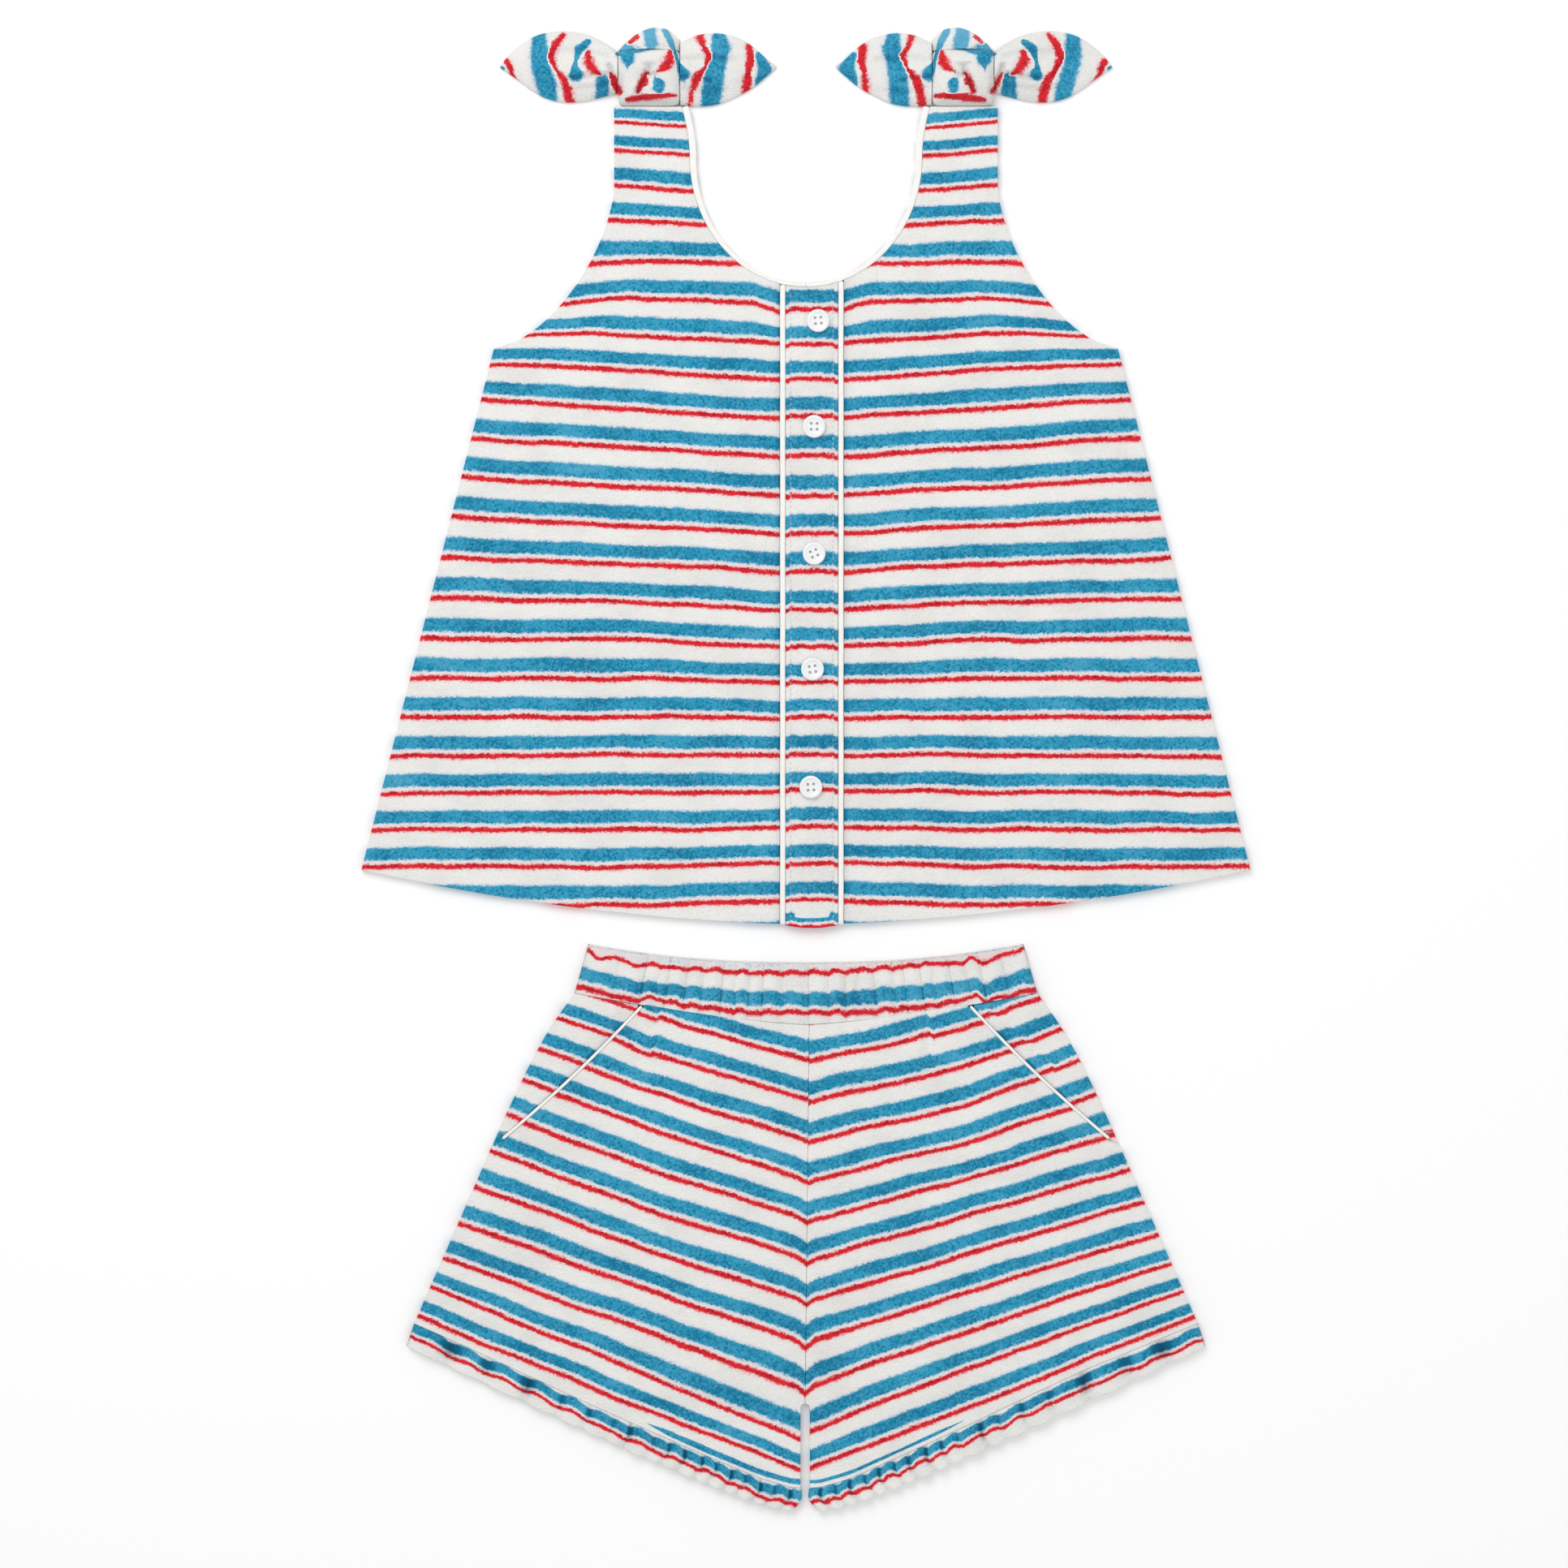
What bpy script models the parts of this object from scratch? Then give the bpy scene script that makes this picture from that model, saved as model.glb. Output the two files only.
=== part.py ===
"""A child's two-piece towelling set laid flat, front side up.

The set is a sleeveless A-line top with straps tied in bows, and gathered shorts with a
frill round each leg.  Sizes are in millimetres and become metres when a mesh is made.
X runs to the viewer's right, Y from the shorts up to the bows, and the set rests on z = 0.
Y = 0 is half way down the laid-out set.  Each piece of cloth is a wall laid out from its
four cut edges.  Left and right are the viewer's.
"""

import math

import bmesh
import bpy
from mathutils import Vector

MM = 0.001

# Cloth, and the clearance between pieces that meet
CLOTH = 1.8
SEAM_GAP = 0.3
FRONT_Z = CLOTH + SEAM_GAP
SMOOTH_ANGLE = 40.0

# How far a front rises off the back in its middle, and its soft flutes across
TOP_LOFT = 0.9
TOP_FLUTES = 2.5
LEG_LOFT = 1.2
LEG_FLUTES = 2.0
FLUTE_SHARE = 0.25

# Steps of a half of the top: across, then up the body, armhole, neckline and strap
TOP_FRONT_STEPS = (9, 11, 3, 6, 2)
TOP_BACK_STEPS = (6, 8, 3, 7, 2)
# Rows crowd towards the foot of the neckline, where it turns fastest
NECK_ROW_POWER = 1.6

# Body of the top, as half widths from its middle line
CHEST_HALF = 153.5
UNDERARM_Y = 207.0
HEM_HALF = 218.8
HEM_CORNER_Y = -49.8
HEM_CENTRE_Y = -76.4
HEM_CURVE_POWER = 1.8

# Armhole: a quarter of a squarish oval from the underarm up to the strap
STRAP_OUTER_HALF = 94.4
STRAP_TOP_Y = 325.9
ARMHOLE_DEPTH = 80.0
ARMHOLE_POWER = 1.6

# Neckline: half an oval, its sides flaring a little towards the knots
NECK_HALF = 53.8
NECK_DEPTH = 60.0
NECK_CENTRE_Y = 299.0
NECK_FLARE = 0.0055
BINDING_WIDTH_FRONT = 2.0
BINDING_WIDTH_STRAP = 3.4
BINDING_HEIGHT = 2.6
BINDING_TURNS = 11

# Button band with its two pipings, a little right of the middle line
BAND_CENTRE_X = 2.9
BAND_HALF = 12.5
BAND_THICKNESS = 2.7
BAND_CROWN = 0.5
BAND_TOP_Y = 236.7
BAND_FOOT_Y = -77.8
PIPING_RADIUS = 1.5
PIPING_SIDES = 10

# Buttons: (x, y) of each centre, top one first
BUTTON_PLACES = ((6.0, 220.2), (4.0, 168.2), (4.0, 105.8), (3.2, 49.0), (2.4, -9.0))
BUTTON_RADIUS = 5.65
BUTTON_HEIGHT = 2.3
BUTTON_DISH_RADIUS = 3.9
BUTTON_DISH_DEPTH = 0.6
BUTTON_EDGE = 0.7
BUTTON_HOLE_RADIUS = 0.75
BUTTON_HOLE_SPACING = 1.45
BUTTON_SIDES = 20
BUTTON_HOLE_SIDES = 8

# Shoulder bows: the left one, measured from the middle of its knot
KNOT_X = -77.2
KNOT_Y = 341.0
KNOT_HALF_WIDTH = 15.0
KNOT_FOOT = -14.8
KNOT_HEAD = 12.3
KNOT_HEIGHT = 13.0
KNOT_PLAN_POWER = 3.4
KNOT_SPOKES = 24
KNOT_RINGS = 7
# The wrap down the middle of a knot, between two grooves that spread upwards
WRAP_HEIGHT = 1.2
WRAP_HALF = 6.0
GROOVE_DEPTH = 2.2
GROOVE_HALF = 1.8
GROOVE_FOOT_X = 5.5
GROOVE_SPREAD = 0.22
EDGE_HEIGHT = 1.3

# Outer end of a bow: (distance out, lower edge, upper edge)
OUTER_END = (
    (15.3, -8.2, 12.2), (22.8, -10.0, 17.2), (30.8, -12.0, 20.8), (41.2, -12.7, 22.4), (50.4, -10.8, 21.6),
    (58.4, -6.4, 18.8), (67.6, 0.4, 12.2), (73.4, 4.4, 5.4),
)
# Inner end of a bow, the same columns
INNER_END = (
    (15.3, -14.5, 16.6), (22.2, -14.7, 19.8), (29.2, -14.4, 21.3), (36.4, -12.8, 21.0), (44.6, -9.0, 18.8),
    (51.8, -4.8, 14.2), (58.0, 0.4, 8.6), (62.6, 4.4, 5.4),
)
END_ROOT_HEIGHT = 8.0
END_BODY_HEIGHT = 4.6
END_STEPS = (10, 8)
END_CREASE_DEPTH = 1.7
# Creases that run out of the knot: (place across the end, half width, strength), as shares
END_CREASES = ((0.38, 0.09, 1.0), (0.66, 0.08, 0.8))
# Loop above a knot: (distance across, upper edge)
LOOP_TOP = ((-15.0, 13.4), (-11.0, 17.0), (-6.0, 21.0), (0.0, 23.6), (5.0, 24.0), (10.0, 22.6), (15.0, 18.4))
LOOP_HEIGHT = 10.0
LOOP_STEPS = (12, 5)

# Shorts: waistband, seams and legs, as half widths from the middle line
WAIST_TOP_HALF = 107.2
WAIST_TOP_CENTRE_Y = -96.0
WAIST_TOP_RISE = 9.0
WAIST_TOP_POWER = 2.3
WAIST_SEAM_HALF = 114.0
WAIST_SEAM_CENTRE_Y = -125.8
WAIST_SEAM_RISE = 15.4
WAIST_SEAM_POWER = 1.4
WAISTBAND_THICKNESS = 2.4
WAISTBAND_ROWS = 4
GATHER_SAMPLES = 4
GATHER_EDGE_SHARE = 0.45
BACK_BAND_SHOWS = 0.8

# Gathers across the front waistband, left to right: (width, height)
WAIST_GATHERS = (
    (17.0, 0.8), (12.8, 1.4), (7.2, 1.7), (4.0, 1.2), (8.8, 2.0), (8.0, 1.9), (9.2, 2.1), (6.4, 1.6),
    (6.4, 1.8), (6.4, 1.6), (9.6, 2.2), (12.4, 2.0), (9.6, 2.2), (8.0, 1.9), (6.0, 1.6), (8.0, 2.0),
    (9.6, 2.2), (4.8, 1.3), (8.0, 1.9), (6.0, 1.6), (8.0, 1.9), (8.0, 1.8), (6.4, 1.5), (10.8, 1.3),
    (12.6, 0.9),
)

# Side seam of the shorts: (height, half width)
SHORTS_SIDE = ((-281.0, 196.4), (-211.0, 165.6), (-161.0, 143.4), (-131.0, 128.0), (-110.4, 114.0))
# Finished edge of the frill: (half width, height)
FRILL_EDGE = ((2.0, -365.0), (8.0, -365.0), (27.0, -360.6), (75.0, -341.0), (141.0, -311.0), (196.6, -284.8))
FRILL_DROP = 10.9
FRILL_SIDE_HALF = 193.6
CENTRE_SEAM_TOP_X = 1.6
CROTCH_X = -0.4
CROTCH_Y = -312.2
NOTCH_HALF = 1.8
NOTCH_ROUND = 2.6
SEAT_Y = -228.0

# Steps of a leg piece: across, then up the leg, the seat and the hip
LEG_FRONT_STEPS = (9, 3, 4, 7)
LEG_BACK_STEPS = (7, 3, 4, 5)

# Waves of a leg's frill from the side seam to the inseam: (width, height)
FRILL_WAVES = (
    (20.0, 0.9), (18.0, 1.0), (22.0, 1.2), (17.0, 1.5), (14.0, 1.7), (12.0, 1.8), (9.0, 1.6), (12.0, 2.1),
    (8.0, 1.8), (8.0, 2.0), (9.0, 2.2), (7.0, 1.8), (8.0, 2.1), (7.0, 1.9), (8.0, 2.2), (7.0, 1.8),
    (8.0, 2.0), (6.0, 1.4),
)
FRILL_SCALLOP = 1.0
FRILL_ROWS = 3
FRILL_CORNER_ROUND = 4.0
FRILL_CORNER_BULGE = 2.4
FRILL_SEAM_SHARE = 0.35

# Slanted pocket edge
POCKET_TOP = (80.8, -116.8)
POCKET_FOOT = (150.2, -182.8)
POCKET_BOW = 1.6
POCKET_SEAM_SHARE = -0.02
POCKET_PIPING_RADIUS = 1.2
POCKET_PIPING_SPAN = (0.03, 0.985)
POCKET_PIPING_STEPS = 8
POCKET_LIP = 0.9
POCKET_LIP_RUN = 12.0
POCKET_LIP_REACH = 16.0
POCKET_SIDE_SPAN = (0.94, 0.02)
POCKET_SIDE_STEPS = (5, 7)
POCKET_SIDE_LOFT = 0.5

STRIPED_CLOTH = (0.62, 0.74, 0.82, 1.0)
WHITE_TRIM = (0.92, 0.92, 0.90, 1.0)
WHITE_BUTTON = (0.95, 0.95, 0.94, 1.0)


def clamp(value):
    """The value kept between 0 and 1."""
    return min(1.0, max(0.0, value))


def mix(start, end, share):
    """The point or number that lies a share of the way from start to end."""
    if isinstance(start, tuple):
        return tuple(mix(a, b, share) for a, b in zip(start, end))
    return start + (end - start) * share


def spread(start, end, steps):
    """Evenly spaced values from start to end, both included."""
    return [mix(start, end, step / steps) for step in range(steps + 1)]


def read_curve(table, value, column=1):
    """Read a column of a table whose first column rises, along a smooth curve through its rows."""
    last = len(table) - 1
    row = max(i for i in range(last) if i == 0 or table[i][0] <= value)

    def slope(i):
        before, after = max(0, i - 1), min(last, i + 1)
        return (table[after][column] - table[before][column]) / (table[after][0] - table[before][0])

    width = table[row + 1][0] - table[row][0]
    t = clamp((value - table[row][0]) / width)
    start_weight = 2 * t**3 - 3 * t**2 + 1
    return (
        start_weight * table[row][column]
        + (1 - start_weight) * table[row + 1][column]
        + (t**3 - 2 * t**2 + t) * width * slope(row)
        + (t**3 - t**2) * width * slope(row + 1)
    )


def lay_out(left, right, bottom, top):
    """Rows of plan points over a piece, from its four cut edges.

    Left and right hold one point a row from the bottom up, bottom and top one point a
    column from left to right, and the edges meet at the four corners.
    """
    rows, columns = len(left), len(bottom)
    run = [0.0]
    for row in range(1, rows):
        run.append(run[-1] + math.dist(left[row], left[row - 1]) + math.dist(right[row], right[row - 1]))
    across = [0.0]
    for column in range(1, columns):
        across.append(across[-1] + math.dist(bottom[column], bottom[column - 1]))
    plan = []
    for row in range(rows):
        v = run[row] / run[-1]
        points = []
        for column in range(columns):
            u = across[column] / across[-1]
            point = []
            for axis in (0, 1):
                sides = mix(left[row][axis], right[row][axis], u)
                foot = bottom[column][axis] - mix(bottom[0][axis], bottom[-1][axis], u)
                head = top[column][axis] - mix(top[0][axis], top[-1][axis], u)
                point.append(sides + (1 - v) * foot + v * head)
            points.append((point[0], point[1], u, v))
        plan.append(points)
    return plan


def mirrored(plan):
    """The same piece for the other side of the body."""
    return [[(-x, y, u, v) for x, y, u, v in reversed(points)] for points in plan]


def finish(name, colour, roughness):
    """The material of one piece."""
    material = bpy.data.materials.new(name)
    material.use_nodes = True
    shader = material.node_tree.nodes["Principled BSDF"]
    shader.inputs["Base Color"].default_value = colour
    shader.inputs["Roughness"].default_value = roughness
    shader.inputs["Metallic"].default_value = 0.0
    return material


def add_piece(name, shape, colour=STRIPED_CLOTH, roughness=0.95):
    """Turn a bmesh in millimetres into a named object in metres, with its faces pointing out."""
    bmesh.ops.recalc_face_normals(shape, faces=shape.faces)
    bmesh.ops.scale(shape, vec=(MM, MM, MM), verts=shape.verts)
    mesh = bpy.data.meshes.new(name)
    shape.to_mesh(mesh)
    shape.free()
    mesh.shade_smooth()
    mesh.set_sharp_from_angle(angle=math.radians(SMOOTH_ANGLE))
    mesh.materials.append(finish(name, colour, roughness))
    piece = bpy.data.objects.new(name, mesh)
    bpy.context.scene.collection.objects.link(piece)
    return piece


def with_heights(plan, heights):
    """The plan with the height of the gathers in each column put in place of u."""
    return [[(x, y, heights[i], v) for i, (x, y, u, v) in enumerate(points)] for points in plan]


def add_wall(name, plan, underside, thickness=None, colour=STRIPED_CLOTH):
    """A closed wall of cloth over a plan, from the height of its underside and its thickness.

    Both are functions of x, y, u and v, where u runs across the piece and v up it.
    """
    thickness = thickness or (lambda x, y, u, v: CLOTH)
    shape = bmesh.new()
    lower, upper = [], []
    for points in plan:
        lower.append([shape.verts.new((p[0], p[1], underside(*p))) for p in points])
        upper.append([shape.verts.new((p[0], p[1], underside(*p) + thickness(*p))) for p in points])
    last_row, last_column = len(plan) - 1, len(plan[0]) - 1
    for skin in (lower, upper):
        for low, high in zip(skin, skin[1:]):
            for i in range(last_column):
                shape.faces.new((low[i], low[i + 1], high[i + 1], high[i]))
    rim = [(0, column) for column in range(last_column)]
    rim += [(row, last_column) for row in range(last_row)]
    rim += [(last_row, column) for column in range(last_column, 0, -1)]
    rim += [(row, 0) for row in range(last_row, 0, -1)]
    for here, following in zip(rim, rim[1:] + rim[:1]):
        (a, b), (c, d) = here, following
        shape.faces.new((lower[a][b], lower[c][d], upper[c][d], upper[a][b]))
    return add_piece(name, shape, colour)


def flat_at(height):
    """An underside that lies flat."""
    return lambda x, y, u, v: height


def add_tube(name, path, half_widths, half_height, sides=8, colour=WHITE_TRIM):
    """A closed oval tube along a path of (x, y, z) points, with a half width for each point."""
    shape = bmesh.new()
    rings = []
    for i, point in enumerate(path):
        before, after = Vector(path[max(0, i - 1)]), Vector(path[min(len(path) - 1, i + 1)])
        along = (after - before).normalized()
        aside = along.cross(Vector((0, 0, 1))).normalized()
        ring = []
        for side in range(sides):
            turn = math.tau * (side + 0.5) / sides
            offset = aside * (half_widths[i] * math.cos(turn)) + Vector((0, 0, half_height * math.sin(turn)))
            ring.append(shape.verts.new(Vector(point) + offset))
        rings.append(ring)
    for ring, following in zip(rings, rings[1:]):
        for side in range(sides):
            other = (side + 1) % sides
            shape.faces.new((ring[side], ring[other], following[other], following[side]))
    shape.faces.new(rings[0])
    shape.faces.new(rings[-1])
    return add_piece(name, shape, colour, 0.7)


def swell(share, fullness=0.7):
    """A soft rise from 0 at both ends of a share of 0 to 1 to 1 in the middle."""
    return math.sin(math.pi * clamp(share)) ** fullness if 0 < share < 1 else 0.0


def bump_at(value, middle, half):
    """A soft bump of height 1 at the middle, mostly gone two half widths away."""
    return math.exp(-(((value - middle) / half) ** 2))


def fold_columns(folds, samples):
    """Shares across a gathered strip, and the height of the cloth at each one.

    The folds are (width, height) rows; each gets the same number of samples, with the
    crease between two folds at a height of 0.
    """
    total = sum(width for width, height in folds)
    shares, heights = [0.0], [0.0]
    start = 0.0
    for width, height in folds:
        for sample in range(1, samples + 1):
            shares.append((start + width * sample / samples) / total)
            heights.append(height * swell(sample / samples))
        start += width
    return shares, heights


# The top


def armhole_half(y):
    """Half width of the top at its side seam, armhole or strap."""
    if y <= UNDERARM_Y:
        return mix(CHEST_HALF, HEM_HALF, (UNDERARM_Y - y) / (UNDERARM_Y - HEM_CORNER_Y))
    depth = clamp((UNDERARM_Y + ARMHOLE_DEPTH - y) / ARMHOLE_DEPTH)
    reach = 1 - (1 - depth**ARMHOLE_POWER) ** (1 / ARMHOLE_POWER)
    return STRAP_OUTER_HALF + (CHEST_HALF - STRAP_OUTER_HALF) * reach


def neck_half(y, inset):
    """Half width of the neck opening at a height, with its edge moved into the cloth by an inset."""
    if y >= NECK_CENTRE_Y:
        return NECK_HALF + inset + NECK_FLARE * (y - NECK_CENTRE_Y) ** 2
    drop = (NECK_CENTRE_Y - y) / (NECK_DEPTH + inset)
    return (NECK_HALF + inset) * math.sqrt(max(0.0, 1 - drop**2))


def binding_width(y):
    """Width of the neck binding, which is narrower at the front than on the straps."""
    return mix(BINDING_WIDTH_FRONT, BINDING_WIDTH_STRAP, clamp((y - NECK_CENTRE_Y + NECK_DEPTH) / NECK_DEPTH))


def hem_y(x):
    """Height of the curved hem of the top."""
    return HEM_CENTRE_Y + (HEM_CORNER_Y - HEM_CENTRE_Y) * (abs(x) / HEM_HALF) ** HEM_CURVE_POWER


def top_panel(inner_x, neck_inset, counts):
    """Plan of a half of the top, right of the middle line, from the hem to the end of its strap."""
    across, body_rows, armhole_rows, neck_rows, strap_rows = counts
    inset = neck_inset(NECK_CENTRE_Y - NECK_DEPTH)
    corner_y = NECK_CENTRE_Y - (NECK_DEPTH + inset) * math.sqrt(1 - (inner_x / (NECK_HALF + inset)) ** 2)
    heights = spread(UNDERARM_Y, corner_y, armhole_rows)
    shares = spread(0, 1, neck_rows)[1:]
    heights += [mix(corner_y, NECK_CENTRE_Y, share**NECK_ROW_POWER) for share in shares]
    heights += spread(NECK_CENTRE_Y, STRAP_TOP_Y, strap_rows)[1:]
    inner_side = [(inner_x, y) for y in spread(hem_y(inner_x), UNDERARM_Y, body_rows)[:-1]]
    inner_side += [(max(inner_x, neck_half(y, neck_inset(y))), y) for y in heights]
    outer_side = [(armhole_half(y), y) for y in spread(HEM_CORNER_Y, UNDERARM_Y, body_rows)[:-1]]
    outer_side += [(armhole_half(y), y) for y in heights]
    hem = [(x, hem_y(x)) for x in spread(inner_x, HEM_HALF, across)]
    strap_end = [(x, STRAP_TOP_Y) for x in spread(inner_side[-1][0], outer_side[-1][0], across)]
    return lay_out(inner_side, outer_side, hem, strap_end)


def lofted(loft, flutes):
    """An underside that rises off the back in the middle of a panel, with soft flutes across it."""

    def underside(x, y, u, v):
        flute = 1 - FLUTE_SHARE * (1 - math.cos(math.tau * flutes * u)) / 2
        return FRONT_Z + loft * swell(u) * swell(v, 0.5) * flute

    return underside


def make_top_fronts():
    """Two fronts that lie on the back, each ending at the button band."""

    seam_half = BAND_HALF + 2 * PIPING_RADIUS + 2 * SEAM_GAP
    for side, sign in (("left", -1), ("right", 1)):
        inner_x = seam_half + SEAM_GAP + sign * BAND_CENTRE_X
        plan = top_panel(inner_x, lambda y: binding_width(y) + SEAM_GAP, TOP_FRONT_STEPS)
        if side == "left":
            plan = mirrored(plan)
        add_wall(f"top_front_{side}", plan, lofted(TOP_LOFT, TOP_FLUTES))


def make_top_back():
    """The back: one flat piece of cloth, laid out as two halves that share the middle line."""
    right = top_panel(0.0, lambda y: SEAM_GAP, TOP_BACK_STEPS)
    shape = bmesh.new()
    made = {}

    def corner(point, z):
        key = (round(point[0], 4), round(point[1], 4), z)
        if key not in made:
            made[key] = shape.verts.new(key)
        return made[key]

    for z in (0.0, CLOTH):
        for half in (mirrored(right), right):
            for low, high in zip(half, half[1:]):
                for i in range(len(low) - 1):
                    shape.faces.new([corner(p, z) for p in (low[i], low[i + 1], high[i + 1], high[i])])
    lower_rim = [edge for edge in shape.edges if edge.is_boundary and edge.verts[0].co.z == 0.0]
    for edge in lower_rim:
        a, b = (vertex.co for vertex in edge.verts)
        shape.faces.new((corner(a, 0.0), corner(b, 0.0), corner(b, CLOTH), corner(a, CLOTH)))
    add_piece("top_back", shape)


def make_button_band():
    """The button band, and the piping sewn into each of its long edges."""
    left_x, right_x = BAND_CENTRE_X - BAND_HALF, BAND_CENTRE_X + BAND_HALF
    heights = [BAND_FOOT_Y, BAND_TOP_Y]
    across = spread(left_x, right_x, 6)
    plan = lay_out(
        [(left_x, y) for y in heights], [(right_x, y) for y in heights],
        [(x, BAND_FOOT_Y) for x in across], [(x, BAND_TOP_Y) for x in across],
    )
    add_wall("button_band", plan, flat_at(FRONT_Z), lambda x, y, u, v: BAND_THICKNESS + BAND_CROWN * swell(u))
    for side, sign in (("left", -1), ("right", 1)):
        x = BAND_CENTRE_X + sign * (BAND_HALF + SEAM_GAP + PIPING_RADIUS)
        path = [(x, y, FRONT_Z + PIPING_RADIUS) for y in (BAND_FOOT_Y, BAND_TOP_Y)]
        add_tube(f"band_piping_{side}", path, [PIPING_RADIUS] * 2, PIPING_RADIUS, PIPING_SIDES)


def make_neck_binding():
    """The narrow binding of the neckline, in two halves from the middle of the front to the straps."""
    for side, sign in (("left", -1), ("right", 1)):
        path, half_widths = [], []
        first_turn = math.degrees(SEAM_GAP / 2 / NECK_HALF)
        for turn in spread(first_turn, 90.0, BINDING_TURNS):
            angle = math.radians(turn)
            y = NECK_CENTRE_Y - NECK_DEPTH * math.cos(angle)
            half = binding_width(y) / 2
            x = (NECK_HALF + half) * math.sin(angle)
            path.append((sign * x, NECK_CENTRE_Y - (NECK_DEPTH + half) * math.cos(angle)))
            half_widths.append(half)
        for y in spread(NECK_CENTRE_Y, STRAP_TOP_Y, 3)[1:]:
            half = binding_width(y) / 2
            path.append((sign * neck_half(y, half), y))
            half_widths.append(half)
        height = FRONT_Z + BINDING_HEIGHT / 2
        path = [(x, y, height) for x, y in path]
        add_tube(f"neck_binding_{side}", path, half_widths, BINDING_HEIGHT / 2)


def make_button(number, x, y):
    """One sewn-through button: a rounded rim round a dish with four holes."""
    dish_z = BUTTON_HEIGHT - BUTTON_DISH_DEPTH
    profile = (
        (0.0, 0.0), (BUTTON_RADIUS - BUTTON_EDGE, 0.0), (BUTTON_RADIUS, BUTTON_EDGE),
        (BUTTON_RADIUS, BUTTON_HEIGHT - BUTTON_EDGE), (BUTTON_RADIUS - BUTTON_EDGE, BUTTON_HEIGHT),
        (BUTTON_DISH_RADIUS, BUTTON_HEIGHT), (BUTTON_DISH_RADIUS - BUTTON_EDGE, dish_z), (0.0, dish_z),
    )
    shape = bmesh.new()
    rings = []
    for radius, z in profile:
        if radius == 0.0:
            rings.append([shape.verts.new((0, 0, z))])
            continue
        angles = [math.tau * i / BUTTON_SIDES for i in range(BUTTON_SIDES)]
        rings.append([shape.verts.new((radius * math.cos(a), radius * math.sin(a), z)) for a in angles])
    for ring, following in zip(rings, rings[1:]):
        for i in range(BUTTON_SIDES):
            j = (i + 1) % BUTTON_SIDES
            corners = {ring[i % len(ring)]: 0, ring[j % len(ring)]: 0}
            corners.update({following[j % len(following)]: 0, following[i % len(following)]: 0})
            shape.faces.new(list(corners))
    button = add_piece(f"button_{number}", shape, WHITE_BUTTON, 0.35)
    button.location = Vector((x, y, FRONT_Z + BAND_THICKNESS + BAND_CROWN + SEAM_GAP)) * MM
    for across in (-1, 1):
        for up in (-1, 1):
            place = Vector((across, up, 0)) * BUTTON_HOLE_SPACING
            bpy.ops.mesh.primitive_cylinder_add(
                vertices=BUTTON_HOLE_SIDES, radius=BUTTON_HOLE_RADIUS * MM, depth=4 * BUTTON_HEIGHT * MM,
                location=button.location + place * MM,
            )
            drill = bpy.context.object
            drill.name = f"drill_{number}_{across}_{up}"
            drill.display_type = "WIRE"
            drill.hide_render = True
            cut = button.modifiers.new(drill.name, "BOOLEAN")
            cut.operation = "DIFFERENCE"
            cut.solver = "EXACT"
            cut.object = drill


# The shoulder bows


def knot_edge(angle):
    """Plan outline of a knot: a squarish oval."""
    power = 2 / KNOT_PLAN_POWER
    half_height = (KNOT_HEAD - KNOT_FOOT) / 2
    x = KNOT_HALF_WIDTH * math.copysign(abs(math.cos(angle)) ** power, math.cos(angle))
    y = half_height * math.copysign(abs(math.sin(angle)) ** power, math.sin(angle))
    return x, y + (KNOT_HEAD + KNOT_FOOT) / 2


def knot_height(x, y, reach):
    """Height of a knot: a dome with a wrap down its middle between two grooves that spread upwards."""
    dome = KNOT_HEIGHT * (1 - reach**3) ** 0.6
    groove_x = GROOVE_FOOT_X + GROOVE_SPREAD * (y - KNOT_FOOT)
    groove = bump_at(abs(x), groove_x, GROOVE_HALF)
    wrap = bump_at(x, 0.0, WRAP_HALF)
    return max(EDGE_HEIGHT, dome + WRAP_HEIGHT * wrap - GROOVE_DEPTH * groove * (1 - reach))


def make_knot(side, sign):
    """The tied knot, resting flat on the surface."""
    shape = bmesh.new()
    angles = [math.tau * (i + 0.5) / KNOT_SPOKES for i in range(KNOT_SPOKES)]

    def point(x, y, z):
        return shape.verts.new((-sign * (KNOT_X + x), KNOT_Y + y, z))

    middle_y = (KNOT_HEAD + KNOT_FOOT) / 2
    crown = point(0.0, middle_y, knot_height(0.0, middle_y, 0.0))
    foot = point(0.0, middle_y, 0.0)
    upper = []
    for ring in range(1, KNOT_RINGS + 1):
        reach = (ring / KNOT_RINGS) ** 0.8
        spots = [knot_edge(a) for a in angles]
        spots = [(x * reach, middle_y + (y - middle_y) * reach) for x, y in spots]
        upper.append([point(x, y, knot_height(x, y, reach)) for x, y in spots])
    lower = [point(*knot_edge(a), 0.0) for a in angles]
    for i in range(KNOT_SPOKES):
        j = (i + 1) % KNOT_SPOKES
        shape.faces.new((crown, upper[0][i], upper[0][j]))
        shape.faces.new((foot, lower[j], lower[i]))
        for inner, outer in zip(upper, upper[1:]):
            shape.faces.new((inner[i], outer[i], outer[j], inner[j]))
        shape.faces.new((upper[-1][i], lower[i], lower[j], upper[-1][j]))
    add_piece(f"bow_{side}_knot", shape)


def placed(plan, sign):
    """A bow piece moved from the middle of its knot to its shoulder, on the left or the right."""
    moved = [[(KNOT_X + x, KNOT_Y + y, u, v) for x, y, u, v in points] for points in plan]
    return moved if sign < 0 else mirrored(moved)


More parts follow.
